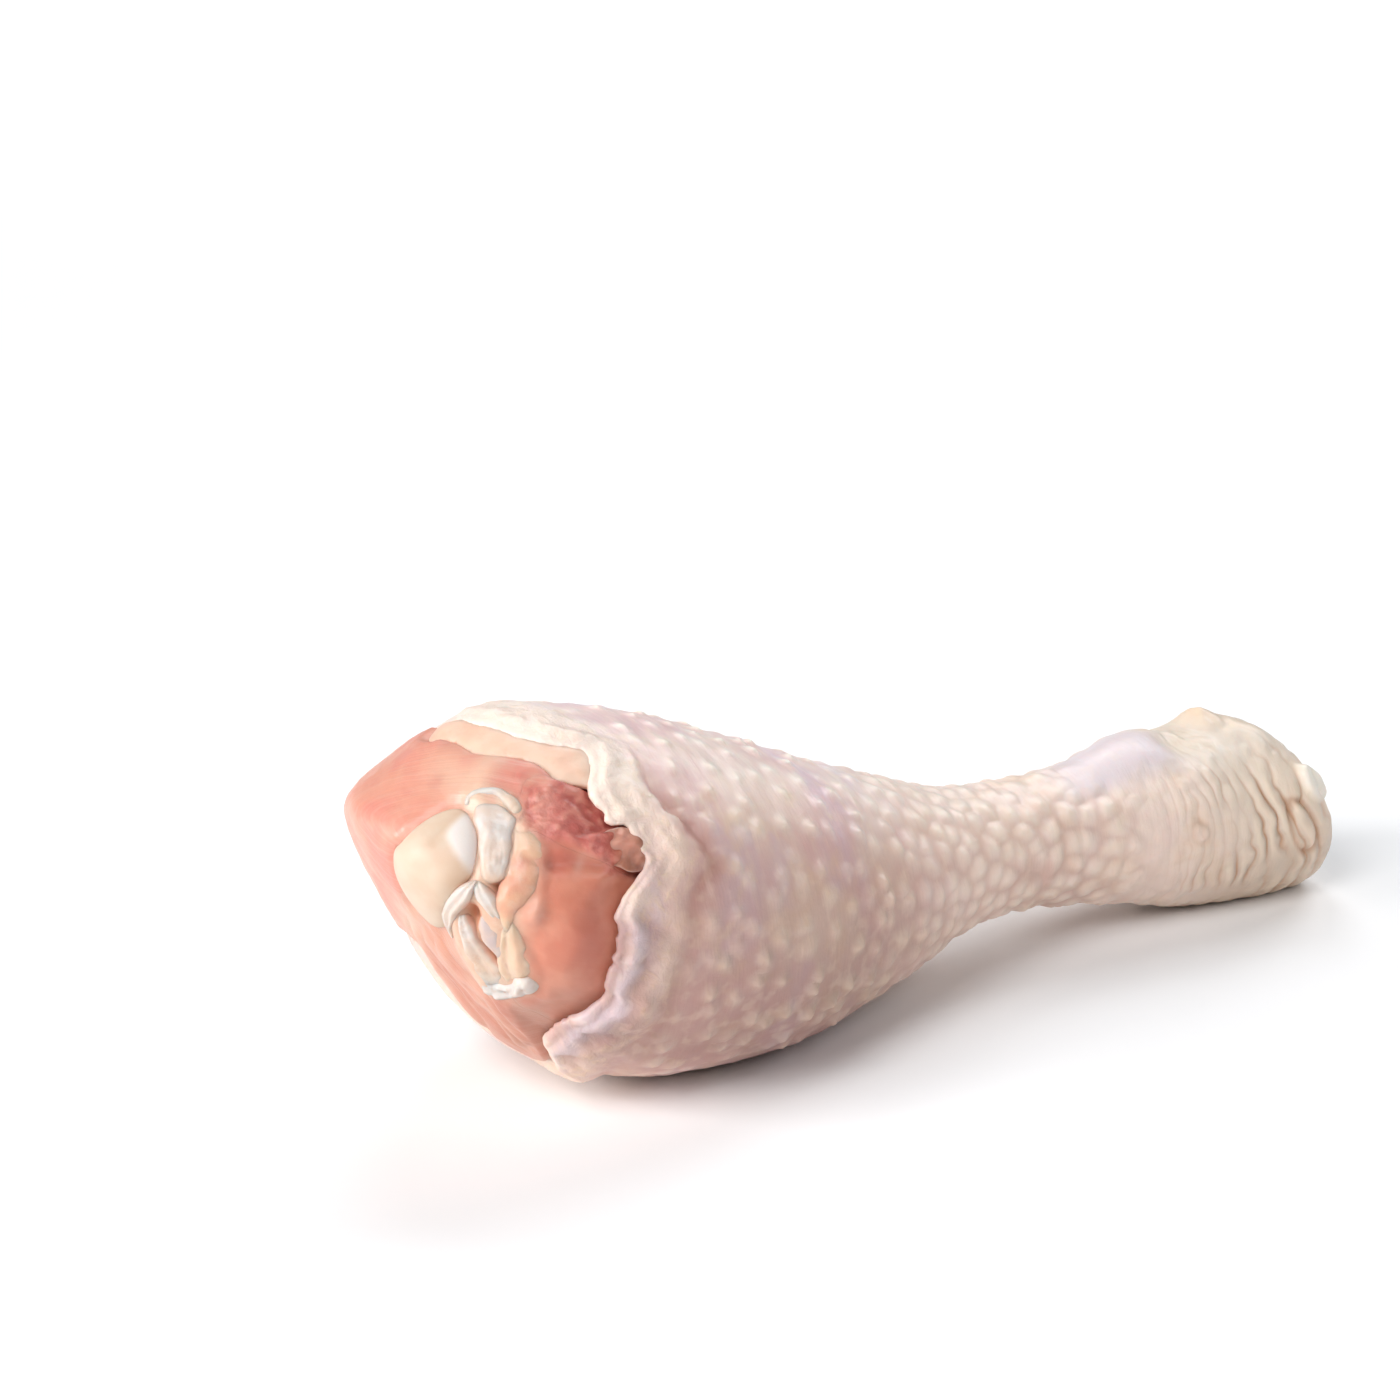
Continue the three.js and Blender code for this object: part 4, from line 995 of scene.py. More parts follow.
# The joint's patches, with each row's left end, right end, height and tone.
PATCHES = {
    "meniscus_body": dict(
        rows=[
            (1.3, 12.3, 4.0, 13.9, 0.5, 0.0), (1.4, 11.6, 5.6, 13.6, 0.9, 0.0),
            (1.9, 10.9, 6.9, 13.0, 1.0, 0.0), (2.8, 10.1, 7.1, 11.9, 0.9, 0.0),
            (3.5, 9.0, 7.4, 10.7, 0.9, 0.0), (4.0, 7.9, 7.7, 9.5, 0.9, 0.1),
            (4.4, 6.5, 8.0, 8.3, 0.9, 0.2), (4.7, 5.3, 8.1, 7.0, 0.8, 0.3),
            (5.2, 4.2, 8.1, 6.0, 0.6, 0.5), (5.9, 3.7, 7.6, 5.2, 0.3, 0.6),
        ],
        fullness=5, count=120, around=96, square=2.6, ripple=0.20, ripple_size=1.8, seed=91,
        detail=lambda share, side: (
            -0.07 * bell(np.hypot(side / 0.50, (share - 0.68) / 0.25) - 1, 0.22)
            - 0.06 * bell(np.hypot((side - 0.05) / 0.22, (share - 0.66) / 0.17) - 1, 0.40)
            - 0.28 * bell(side - 0.1, 0.4) * bell(share - 0.2, 0.14)
            + 0.2 * bell(side - 0.8, 0.25) * bell(share - 0.2, 0.08))),
    "meniscus_arch": dict(
        rows=[
            (0.2, 11.6, 1.1, 11.9, 0.1, 0.4), (0.1, 12.5, 1.2, 12.7, 0.5, 0.2),
            (0.6, 13.4, 1.7, 13.1, 0.65, 0.1), (1.8, 14.4, 2.5, 13.6, 0.7, 0.0),
            (3.3, 15.0, 3.5, 13.9, 0.7, 0.1), (4.6, 15.0, 4.5, 13.7, 0.65, 0.3),
            (6.0, 14.8, 5.6, 13.2, 0.6, 0.5), (7.4, 14.2, 6.4, 12.7, 0.3, 0.8),
        ],
        fullness=8, count=90, around=24, square=2.2, ripple=0.14, ripple_size=1.0, seed=92),
    "tendon_tongue": dict(
        rows=[
            (5.6, 12.9, 7.6, 13.8, 0.2, -0.3), (6.2, 11.7, 9.4, 12.9, 0.5, -0.7),
            (6.8, 10.5, 10.8, 12.1, 0.6, -0.6), (7.2, 9.2, 11.8, 11.0, 0.65, -0.3),
            (7.6, 7.9, 11.9, 9.3, 0.7, 0.3), (7.8, 6.4, 12.0, 7.8, 0.95, 0.15),
            (7.6, 4.9, 12.0, 6.4, 1.15, 0.0), (7.3, 3.4, 11.6, 4.9, 1.15, 0.0),
            (7.2, 2.0, 11.1, 3.6, 1.05, 0.0), (7.3, 0.9, 10.3, 2.4, 1.0, 0.1),
            (7.7, 0.0, 9.9, 0.8, 0.9, -0.3), (8.0, -1.4, 9.7, -0.6, 0.8, -0.7),
            (8.3, -2.7, 9.5, -2.0, 0.5, -1.0),
        ],
        fullness=5, count=150, around=56, square=2.0, ripple=0.14, ripple_size=2.2, seed=97,
        detail=lambda share, side: (
            -0.30 * bell(share - 0.30 - 0.05 * side, 0.035) * smooth((side + 0.7) / 0.9)
            + 0.18 * bell(side + 0.5, 0.3) * rise(share, 0.4, 0.1) * fall(share, 0.7, 0.2))),
    "tendon_band": dict(
        rows=[
            (8.6, 0.2, 10.0, 1.0, 0.4, -0.6), (7.9, -2.0, 10.6, -0.8, 0.8, -0.9),
            (7.3, -4.4, 11.0, -2.4, 0.85, -0.9), (6.4, -6.5, 11.4, -3.9, 0.95, -1.0),
            (6.0, -8.3, 11.4, -5.3, 0.9, -1.0), (6.4, -9.8, 10.8, -7.0, 0.6, -1.0),
        ],
        fullness=4, count=80, around=56, square=2.0, ripple=0.20, ripple_size=1.5, seed=99,
        detail=lambda share, side: (
            0.30 * bell(side + 0.75, 0.2) - 0.22 * bell(side + 0.3, 0.2) + 0.15 * bell(side - 0.35, 0.2))),
    "ring_left": dict(
        rows=[
            (1.8, -4.6, 3.3, -3.9, 0.4, 0.6), (1.8, -5.9, 3.8, -4.9, 0.85, 0.9),
            (1.8, -7.2, 4.3, -6.0, 0.9, 0.6), (1.8, -8.6, 5.0, -7.0, 0.9, 0.2),
            (2.1, -9.8, 6.2, -7.6, 0.85, 0.0), (2.6, -10.8, 7.0, -8.4, 0.8, 0.1),
            (2.9, -11.8, 6.8, -9.4, 0.6, 0.3),
        ],
        fullness=5, count=80, around=36, square=2.0, ripple=0.20, ripple_size=1.3, seed=95,
        detail=lambda share, side: 0.25 * bell(side + 0.5, 0.3) - 0.25 * bell(side - 0.2, 0.3)),
    "ring_low": dict(
        rows=[
            (2.2, -10.2, 4.2, -8.6, 0.6, 0.5), (2.7, -12.0, 4.6, -9.6, 0.95, 0.6),
            (4.9, -11.7, 6.0, -9.4, 1.0, 0.9), (6.9, -10.7, 7.5, -8.7, 1.0, 0.8),
            (8.7, -9.6, 9.0, -7.0, 1.15, 0.6), (10.3, -8.6, 10.6, -6.2, 1.05, 0.8),
            (11.8, -7.6, 11.6, -6.2, 0.6, 0.4),
        ],
        fullness=6, count=90, around=36, square=2.0, ripple=0.30, ripple_size=1.1, seed=98,
        detail=lambda share, side: (
            0.45 * bell(share - 0.80, 0.10) * smooth((side + 0.3) / 0.8)
            - 0.30 * bell(side - 0.1, 0.25) * fall(share, 0.6, 0.1))),
    "inner_arm": dict(
        rows=[
            (4.2, 3.2, 5.2, 3.9, 0.8, 0.0), (3.1, 1.4, 5.1, 2.1, 1.1, 0.0),
            (2.2, -0.8, 4.6, -0.2, 1.2, 0.0), (0.9, -3.1, 3.5, -2.4, 1.15, 0.0),
            (0.0, -4.8, 2.4, -4.2, 0.95, 0.0), (-0.3, -6.2, 1.6, -5.6, 0.75, 0.0),
            (-0.3, -7.4, 0.7, -6.8, 0.5, 0.1), (-0.3, -8.6, 0.1, -8.3, 0.2, 0.1),
        ],
        fullness=6, count=100, around=40, square=2.3, ripple=0.10, seed=93,
        detail=lambda share, side: 0.25 * bell(side - 0.55, 0.25) - 0.25 * bell(side - 0.05, 0.22)),
    "outer_arm": dict(
        rows=[
            (4.4, 3.1, 5.5, 4.1, 0.75, 0.0), (4.7, 1.6, 6.8, 3.3, 1.0, 0.0),
            (5.2, 0.4, 7.6, 2.6, 1.0, 0.0), (6.0, -0.3, 8.0, 1.6, 0.9, 0.0),
            (6.7, -0.8, 8.3, 0.6, 0.8, 0.2), (7.4, -1.5, 8.6, -0.5, 0.3, 0.4),
        ],
        fullness=5, count=70, around=40, square=2.3, ripple=0.12, seed=94,
        detail=lambda share, side: -0.20 * bell(side, 0.25)),
    "panel": dict(
        rows=[
            (5.3, -1.6, 8.2, 0.2, 0.2, 0.0), (5.0, -3.2, 8.5, -1.2, 0.6, 0.0),
            (4.7, -4.6, 8.6, -2.6, 0.7, 0.0), (5.1, -5.8, 8.7, -3.8, 0.7, 0.1),
            (6.3, -6.4, 8.6, -5.0, 0.6, 0.3), (6.9, -7.4, 8.4, -6.2, 0.3, 0.5),
        ],
        fullness=4, count=70, around=48, square=2.6, ripple=0.16, ripple_size=1.8, seed=96),
    "gristle": dict(
        rows=[
            (15.6, 13.2, 17.6, 16.1, -0.8, 1.0), (17.4, 12.2, 19.2, 16.2, -0.55, 0.6),
            (18.9, 11.4, 21.0, 15.4, -0.65, 0.15), (20.3, 10.8, 22.2, 14.1, -0.95, 0.0),
            (21.8, 10.5, 22.9, 12.6, -1.4, 0.2),
        ],
        fullness=3, count=80, around=56, square=2.0, depth=1.2, ripple=0.60, ripple_size=1.7, seed=90),
}


def build_bone():
    """The shin bone. Its head is a dome of nested outlines on the flat map, at the height -0.6 + 2.1 (1 -
    f^2.6)^0.5 for the share f of the way out, with a raised facet. Behind its rim oval rings follow the
    bone's line, and the ankle end is a flat plate with a hollow in its middle."""
    around = 96
    turn = full_turn(around)
    share = np.concatenate([np.sin(np.linspace(0.02, 1, 44) * np.pi / 2), [1.0, 0.98]])
    outline = round_through(turned(np.degrees(turn)), HEAD_OUTLINE)
    p = HEAD_MIDDLE[0] + share[:, None] * outline * np.cos(turn) / HEAD_STRETCH
    q = HEAD_MIDDLE[1] + share[:, None] * outline * np.sin(turn)
    facet = smooth((p - 0.16 * (q - 8.7) - 0.2) / 0.9) * smooth((q - 3.6 + 0.8 * (p - 3.5)) / 2.2)
    step = bell(p - 0.16 * (q - 8.7) - 0.1, 0.35) * rise(q, 3.6, 2.2)
    height = -0.6 + 2.1 * np.sqrt(np.clip(1 - share**2.6, 0, 1))[:, None]
    height = height + (0.22 * facet - 0.12 * step) * (1 - share[:, None] ** 4)
    height = height - 0.35 * spot(p, q, (3.0, 1.0), 3.0, 1.4, 10)
    height[-2:] = [[-1.8], [-2.8]]
    head = leg_point(*off_chart(p, q), height)

    path = BONE[:, :3]
    lengths = lengths_along(path)
    total = lengths[-1]
    at = np.concatenate([np.linspace(0, total - 4.2, 64), total - np.array([3.0, 1.8, 0.9, 0.3, 0.0])])
    centre = np.stack([through(at, lengths, path[:, k]) for k in range(3)], -1)
    size = np.where(at > total - 3.1, 1 - 0.10 * ((at - total + 3.1) / 3.1) ** 2, 1)
    wide, high = through(at, lengths, BONE[:, 3]) * size, through(at, lengths, BONE[:, 4]) * size
    tilt = math.radians(-20)
    up = np.array([0, math.sin(tilt), math.cos(tilt)])
    ahead = np.gradient(centre, axis=0)
    ahead /= np.linalg.norm(ahead, axis=1, keepdims=True)
    ups = up - ahead * (ahead @ up)[:, None]
    ups /= np.linalg.norm(ups, axis=1, keepdims=True)
    side = np.cross(ahead, ups)
    across, over = wide[:, None] * np.cos(turn), high[:, None] * np.sin(turn)
    shaft = centre[:, None] + side[:, None] * across[..., None] + ups[:, None] * over[..., None]

    last, middle = shaft[-1], shaft[-1].mean(0)
    shares = np.array([0.88, 0.72, 0.60, 0.52, 0.45, 0.30, 0.12])
    depths = np.array([0.15, 0.10, -0.2, -1.0, -2.0, -2.6, -2.8])
    plate = middle + (last - middle) * shares[:, None, None]
    plate[..., 0] += depths[:, None]
    plate[..., 0] += 0.12 * noise(plate, 1.5, 81)
    rings = np.concatenate([head, shaft, plate])
    marks = {k: np.zeros((len(rings), around)) for k in ("marrow", "facet", "tint")}
    marks["marrow"][-4:], marks["marrow"][-5] = 1, 0.6
    # The facet's white is partly a painted highlight.
    marks["facet"][: len(head)] = facet
    tint = spot(p, q, (3.0, 1.4), 3.0, 1.5, 14) + 0.5 * step + 0.3 * smooth((share[:, None] - 0.8) / 0.2)
    marks["tint"][: len(head)] = np.clip(tint, 0, 1)
    points = rings.reshape(-1, 3)
    return points, outward(points, capped_faces(len(rings), around)), marks


def build_fat():
    """The fat pad: across the leg's top, from its lower to its upper edge, a flat ring at each angle. Its
    face lies open below the torn edge and thins out under the skin."""
    count, around = 120, 56
    share = crowded(count)
    angle = (FAT_FROM - share * (FAT_FROM - FAT_TO))[:, None] * np.ones(around)
    low, high = fat_edge(angle[:, :1], 1), fat_edge(angle[:, :1], 2)
    at_low = form_point(low, angle[:, :1])
    low = low + 0.40 * noise(at_low, 2.2, 101) + 0.25 * noise(at_low, 0.9, 104)
    size = closed_ends(share, 6)
    c, s = squarish(full_turn(around), 0.8, 0.55)
    along = (low + high) / 2 - (high - low) / 2 * size * c
    at = form_point(along, angle)
    under_skin = smooth(along - round_through(angle, SKIN_EDGE) + 0.5)
    top = -0.25 - 1.45 * under_skin + 0.22 * noise(at, 3, 102) + 0.09 * noise(at, 1.1, 103)
    bottom = -2.3
    height = (top + bottom) / 2 + (top - bottom) / 2 * size * s
    points = leg_point(along, angle, height).reshape(-1, 3)
    grain = np.stack([angle.ravel(), along.ravel()], -1)
    marks = {"tone": 0.5 * np.repeat(rise(share, 0.2, 0.6), around)}
    return points, outward(points, capped_faces(count, around)), marks, grain


# Materials.

def skin_material(t):
    """Skin: mottled pink, tan and lilac; paler on the follicles, partly their own colour and partly a painted
    highlight; mauve between them and in folds, partly their own colour and partly painted shade; cream along
    the torn edge; and on the hock, cream ridges of painted highlight between tan creases of painted shade
    that follow the geometry's phase. Painted light on top and painted shade towards the underside."""
    s = Shader("raw_skin")
    along, behind, up = map(s.mark, ("along", "behind", "up"))
    dome, ground, creased = map(s.mark, ("dome", "ground", "creased"))
    shank, hock = s.times(s.span(along, SHANK, 88), 0.82), s.span(along, 120, 138)
    belly = s.less(shank)

    # The mottled ground.
    s.colour = s.mix(s.span(s.noise(0.016, 4, roughness=0.6), 0.38, 0.62), t.pink, t.cream)
    bluish = s.noise(0.009, 3, vector=s.coords((1, 0.5, 0.5), (0.3, 0, 0.4)))
    s.lay(t.cool, s.span(bluish, 0.48, 0.68), 0.55)
    s.lay(t.gold, s.span(s.noise(0.005, 4, roughness=0.65), 0.50, 0.70), 0.5)
    s.lay(t.shank, shank)
    s.lay(t.hock, hock, 0.75)
    # Painted shade: the hock's top is darkened.
    s.shade((0.84, 0.85, 0.87), hock, s.span(up, 35, 70))
    mottle = s.noise(0.0065, 4, vector=s.coords((0.8, 1, 1), (0.5, 0, 0.2)), roughness=0.6)
    s.lay(t.gold, s.span(mottle, 0.46, 0.66), shank, 0.42)

    # Stretch lines, follicles and folds. Pale on the follicles' tops, partly their own colour and partly a
    # painted highlight. Mauve between them, partly their own colour and partly painted shade that grows
    # towards the underside. Tan between the shank's cobbles as painted shade. A painted shadow beside each
    # follicle. Mauve painted shade in the cuff's valley, and a pale painted highlight on its roll.
    lines = s.noise(0.0016, 3, vector=s.coords((1.0, 0.16, 0.16)), roughness=0.6)
    s.lay(t.pale, s.span(lines, 0.50, 0.70), belly, 0.25)
    s.lay(t.mauve, ground, s.span(up, 85, 20, 0.2, 0.6))
    s.lay(t.tan, ground, shank, 0.27)
    for name, share, colour in (("shaded", 0.75, t.mauve), ("dome", 0.75, t.pale), ("dip", 0.85, t.mauve),
                                ("roll", 0.42, t.pale)):
        s.lay(colour, s.mark(name), share)
    fluff = s.noise(0.0017, 4, roughness=0.62, distortion=0.6)
    near_edge = s.times(s.span(behind, 9.0, 3.0), belly)
    s.lay(t.gold, near_edge, s.span(fluff, 0.50, 0.64), 0.6)

    # Paler on top and along the torn edge, darker towards the underside: painted light on top; cream along
    # the torn edge, stronger on top; painted shade at the low front next to the torn edge; painted shade
    # towards the underside, except where the underside near the knee end is lit; painted light on the shank's
    # upper side; painted shade under the hock.
    s.shade((1.22, 1.37, 1.52), s.span(up, 20, 78), belly)
    s.lay(t.rim, s.span(behind, 6.0, 1.0), s.math("ADD", 0.2, s.times(s.span(up, 25, 60), 0.65)))
    # Painted shade at the low front next to the torn edge.
    s.shade((0.66, 0.54, 0.57), s.mark("low_edge_shade"), 0.8)
    lit = s.times(s.span(up, -35, -58), s.span(along, 48, 34))
    s.shade((0.60, 0.535, 0.53), s.span(up, 72, -35), belly, s.span(along, 24, 42, 0.62, 1.0), s.less(lit))
    s.shade((1.03, 1.07, 1.08), shank, s.span(up, -10, 35))
    s.shade((0.84, 0.82, 0.80), hock, s.span(up, 15, -25))

    # The tendon, the hock's creases and the marks at its end. The creases' ridges get a pale painted
    # highlight and their grooves tan painted shade, as does the groove round each oval.
    s.lay(t.lilac, s.mark("lilac"), 0.68)
    wave = s.math("ABSOLUTE", s.math("SINE", s.times(s.mark("phase"), math.pi)))
    s.lay(t.pale, s.span(wave, 0.6, 1.0), creased, 0.45)
    s.lay(t.tan, s.span(wave, 0.55, 0.0), creased, 0.78)
    for name, share, colour in (("gold", 0.6, t.gold), ("outline", 0.8, t.tan), ("tag", 0.8, t.tag)):
        s.lay(colour, s.mark(name), share)
    s.lay(t.lilac, s.span(s.mark("inner"), 0.7, 1.0), 0.8)
    s.lay(t.pale, s.span(s.noise(0.0026, 2), 0.50, 0.68), 0.15)

    s.bump(wave, 0.0007, s.times(creased, 0.5))
    s.bump(dome, 0.0009, 0.6)
    s.bump(fluff, 0.0007, s.times(near_edge, 0.4))
    s.bump(lines, 0.0004, 0.35)
    s.bump(s.noise(0.0013, 3), 0.0003, 0.25)
    s.bump(s.cells(0.0019), 0.0002, 0.25)
    return s.finish(s.span(s.noise(0.004, 3), 0.3, 0.7, 0.36, 0.55), Subsurface_Weight=0.22,
                    Subsurface_Radius=(1.0, 0.42, 0.30), Subsurface_Scale=0.0011, Specular_IOR_Level=0.5,
                    Coat_Weight=0.08, Coat_Roughness=0.3)


def flesh_material(name, t):
    """Bare meat: each muscle's two tones by its share at that place, fibres that run down the grain, and
    peach, deep, pale and ochre patches. The deep ones hold painted shade along with bloody patches, a pale
    one is a painted highlight, and the ochre ones hold painted shade in the joint's dents along with their
    own orange."""
    s = Shader(name)
    clouds, small = s.noise(0.006, 3, roughness=0.55), s.noise(0.0022, 4, roughness=0.65)
    tone = s.span(clouds, 0.38, 0.64)
    red, calf = s.mark("red"), s.mark("calf")
    s.colour = s.mix(tone, t.salmon, t.rose)
    s.lay(s.mix(tone, t.under, t.under_dark), s.mark("under"))
    s.lay(s.mix(tone, t.brown, t.dark_brown), calf)
    s.lay(s.mix(s.span(small, 0.42, 0.6), t.red, t.dark_red), red)
    fibres = s.noise(1.0, 4, vector=s.coords((0.14, 1.5, 1), grain=True), roughness=0.6)
    fibrous = s.less(s.times(s.math("ADD", calf, red), 0.9))
    s.lay(t.fascia, s.span(fibres, 0.42, 0.70), fibrous, 0.26)
    for name, share in (("peach", 0.7), ("deep", 0.55), ("pale", 0.6)):
        s.lay(getattr(t, name), s.mark(name), share)
    s.lay(t.bed, s.mark("bed"), s.span(small, 0.3, 0.6, 0.65, 0.95))
    s.lay(t.ochre, s.mark("ochre"), 0.9)
    s.lay(t.fascia, s.mark("band"), 0.4)
    s.lay(t.salmon, s.span(s.mark("grains"), 0.3, 1.0), 0.4)
    s.lay(t.deep, s.mark("cut_end"), 0.6)
    s.bump(fibres, 0.0003, s.times(fibrous, 0.3))
    s.bump(small, 0.0004, s.math("ADD", 0.15, s.times(red, 0.5)))
    return s.finish(s.math("ADD", s.span(clouds, 0.3, 0.7, 0.34, 0.48), s.times(red, 0.06)),
                    Subsurface_Weight=0.30, Subsurface_Radius=(1.0, 0.30, 0.20), Subsurface_Scale=0.0022,
                    Specular_IOR_Level=0.5, Coat_Weight=0.08, Coat_Roughness=0.25)


def joint_material(name, base, second, stain, amount, gloss=0.38, size=0.003, third=None, edge=None):
    """Cartilage, ligament and fat: a tone that turns to a second along the piece and in clouds, stained
    here and there, with fine fibres. A third tone lies where the piece's tone is under 0, an edge tone low
    on its sides."""
    s = Shader(name)
    clouds, tone = s.noise(size, 3), s.mark("tone")
    s.colour = base
    s.lay(second, s.math("ADD", tone, s.times(s.span(clouds, 0.38, 0.62), 0.5)))
    if third:
        s.lay(third, tone, -1.0)
    s.lay(stain, s.span(s.noise(size * 0.6, 4, roughness=0.6), 0.52, 0.7), amount)
    if edge:
        s.lay(edge, s.span(s.math("ABSOLUTE", s.mark("side")), 0.78, 1.0), 0.7)
    s.bump(s.noise(0.0009, 3), 0.00012, 0.6)
    return s.finish(s.span(clouds, 0.3, 0.7, gloss, gloss + 0.12), Subsurface_Weight=0.5,
                    Subsurface_Radius=(1.0, 0.62, 0.45), Subsurface_Scale=0.0028, Specular_IOR_Level=0.4,
                    Coat_Weight=0.08, Coat_Roughness=0.2)


def bone_material(t):
    """The bone: clouded cartilage with a tinted side, a white facet that is partly its own white and partly a
    painted highlight, and the marrow in the ankle end.
    """
    s = Shader("cartilage_and_bone")
    clouds = s.noise(0.005, 3)
    s.colour = s.mix(s.span(clouds, 0.35, 0.65), t.cartilage, t.cartilage_light)
    for name, share in (("tint", 0.6), ("facet", 0.9), ("marrow", 1.0)):
        s.lay(getattr(t, name), s.mark(name), share)
    s.bump(s.noise(0.0015, 3), 0.0001, 0.5)
    return s.finish(s.span(clouds, 0.3, 0.7, 0.42, 0.52), Subsurface_Weight=0.35,
                    Subsurface_Radius=(1.0, 0.7, 0.5), Subsurface_Scale=0.0022, Specular_IOR_Level=0.35,
                    Coat_Weight=0.05, Coat_Roughness=0.25)


def colour_property(name, description, rgb):
    """A colour that a user can change, given as screen values."""
    return FloatVectorProperty(name=name, description=description, subtype="COLOR", size=3, min=0, max=1,
                               default=srgb(*rgb))


def number(name, description, default, unit="NONE"):
    """A number that a user can change."""
    return FloatProperty(name=name, description=description, default=default, unit=unit)


class DRUMSTICK_PG_skin(bpy.types.PropertyGroup):
    """The skin's fineness, relief and colours."""

    columns: IntProperty(name="Columns", description="Points round the leg", default=344, min=60)
    rows: IntProperty(name="Rows", description="Rows along the skin's outside", default=254, min=40)
    follicle_spacing: number("Follicle spacing", "Between feather bumps on the thick end, in mm", 4.9)
    follicle_rise: number("Follicle rise", "Scales the height of the feather bumps", 1.0)
    crease_depth: number("Crease depth", "Depth of the creases round the hock, in mm", 0.5)
    pink: colour_property("Pink", "Mottled base, pinker tone", (224, 186, 177))
    cream: colour_property("Cream", "Mottled base, creamier tone", (232, 205, 187))
    # Mauve is partly the skin's own colour and partly painted shade between and beside the follicles and in
    # the cuff's valley.
    cool: colour_property("Cool", "Mottled base, bluish patches", (216, 192, 201))
    mauve: colour_property("Mauve", "Between the follicles and in folds", (190, 137, 124))
    # Pale is also a painted highlight on the follicles' tops, the cuff's roll and the hock's ridges.
    pale: colour_property("Pale", "On top of the follicles", (246, 225, 201))
    shank: colour_property("Shank", "On the thin part of the leg", (250, 227, 213))
    hock: colour_property("Hock", "On the hock's creased skin", (229, 209, 187))
    lilac: colour_property("Lilac", "Over the tendon and inside the skin", (216, 206, 216))
    rim: colour_property("Rim", "Along the torn edge", (235, 216, 202))
    # Tan is painted shade in the hock's creases, round its ovals and between the shank's cobbles.
    tan: colour_property("Tan", "In the hock's creases", (198, 150, 116))
    tag: colour_property("Tag", "The white flap at the ankle", (252, 244, 232))
    gold: colour_property("Gold", "Torn flaps and specks of fat", (234, 204, 172))


class DRUMSTICK_PG_meat(bpy.types.PropertyGroup):
    """The meat's colours."""

    salmon: colour_property("Salmon", "Shin muscle", (214, 150, 129))
    rose: colour_property("Rose", "Shin muscle, second tone", (211, 137, 121))
    red: colour_property("Red", "Red muscle", (200, 116, 104))
    dark_red: colour_property("Dark red", "Red muscle, second tone", (184, 93, 83))
    brown: colour_property("Brown", "Calf muscle", (208, 137, 112))
    dark_brown: colour_property("Dark brown", "Calf muscle, second tone", (199, 122, 98))
    under: colour_property("Under", "Lower muscle", (202, 146, 125))
    under_dark: colour_property("Under, dark", "Lower muscle, second tone", (195, 133, 113))
    peach: colour_property("Peach", "Thin fat over the meat", (216, 183, 159))
    # Deep also stands for painted shade in the furrow and near the skin's edge.
    deep: colour_property("Deep", "Bloody patches", (170, 83, 71))
    # Pale also gives a painted highlight on the calf muscle.
    pale: colour_property("Pale", "Washed-out patches", (202, 152, 135))
    # Ochre also stands for painted shade in the joint's dents.
    ochre: colour_property("Ochre", "Pockets in the joint", (200, 118, 74))
    bed: colour_property("Bed", "Pale tissue round the joint's pieces", (218, 184, 160))
    fascia: colour_property("Fascia", "Thin bands and fibres", (216, 176, 158))


class DRUMSTICK_PG_joint(bpy.types.PropertyGroup):
    """The colours of bone, cartilage, ligaments, tendon, gristle and fat."""

    cartilage: colour_property("Cartilage", "The bone's head", (206, 179, 156))
    cartilage_light: colour_property("Cartilage, light", "The head's second tone", (210, 189, 168))
    # The facet's white is also a painted highlight on the head.
    facet: colour_property("Facet", "The head's smooth white face", (229, 221, 216))
    white: colour_property("White", "Meniscus and ligaments", (206, 196, 189))
    tint: colour_property("Tint", "Pinkish tint at the head's lower right", (203, 167, 138))
    grey: colour_property("Grey", "Panel inside the ring", (188, 170, 166))
    ring: colour_property("Ring", "The cartilage ring", (208, 182, 162))
    tendon: colour_property("Tendon", "The orange lobe", (217, 169, 139))
    cream: colour_property("Cream", "The cartilage under the lobe", (219, 186, 160))
    edge: colour_property("Edge", "Low on the sides of cartilage and ligaments", (212, 162, 138))
    tissue: colour_property("Tissue", "The pink start of the lobe", (210, 148, 129))
    gristle: colour_property("Gristle", "The brown lump", (166, 106, 82))
    fat: colour_property("Fat", "The pad under the skin", (232, 187, 163))
    fat_light: colour_property("Fat, light", "The pad's second tone", (236, 200, 178))
    marrow: colour_property("Marrow", "In the bone's ankle end", (120, 50, 56))
    stain: colour_property("Stain", "Orange stains", (193, 139, 104))


class DRUMSTICK_PG_stage(bpy.types.PropertyGroup):
    """Floor, light and camera."""

    floor: colour_property("Floor", "The pale floor", (253, 253, 253))
    azimuth: number("Azimuth", "The camera's turn round the leg, in degrees", -33.0)
    elevation: number("Elevation", "The camera's height over the horizon, in degrees", 21.0)
    distance: number("Distance", "From the camera to its target", 0.5476, "LENGTH")
    lens: number("Lens", "Focal length in mm", 90.0)
    left: number("Left light", "Power of the low light on the left", 8.0, "POWER")
    front: number("Front light", "Power of the light at the front left", 4.4, "POWER")
    fill: number("Fill light", "Power of the light at the front right", 2.1, "POWER")
    back: number("Back light", "Power of the light over the back", 2.3, "POWER")
    right: number("Right light", "Power of the light at the back right", 3.7, "POWER")
    sky: number("Sky", "Strength of the even light from all sides", 0.06)


class DRUMSTICK_OT_skin(bpy.types.Operator):
    """Build the skin sleeve with its torn edge, bumps and creases"""

    bl_idname = "drumstick.skin"
    bl_label = "Skin"

    def execute(self, context):
        settings = context.scene.drumstick_skin
        place_piece(add_mesh("skin_sleeve", *build_skin(settings)), ["skin"], skin_material(settings))
        return {"FINISHED"}


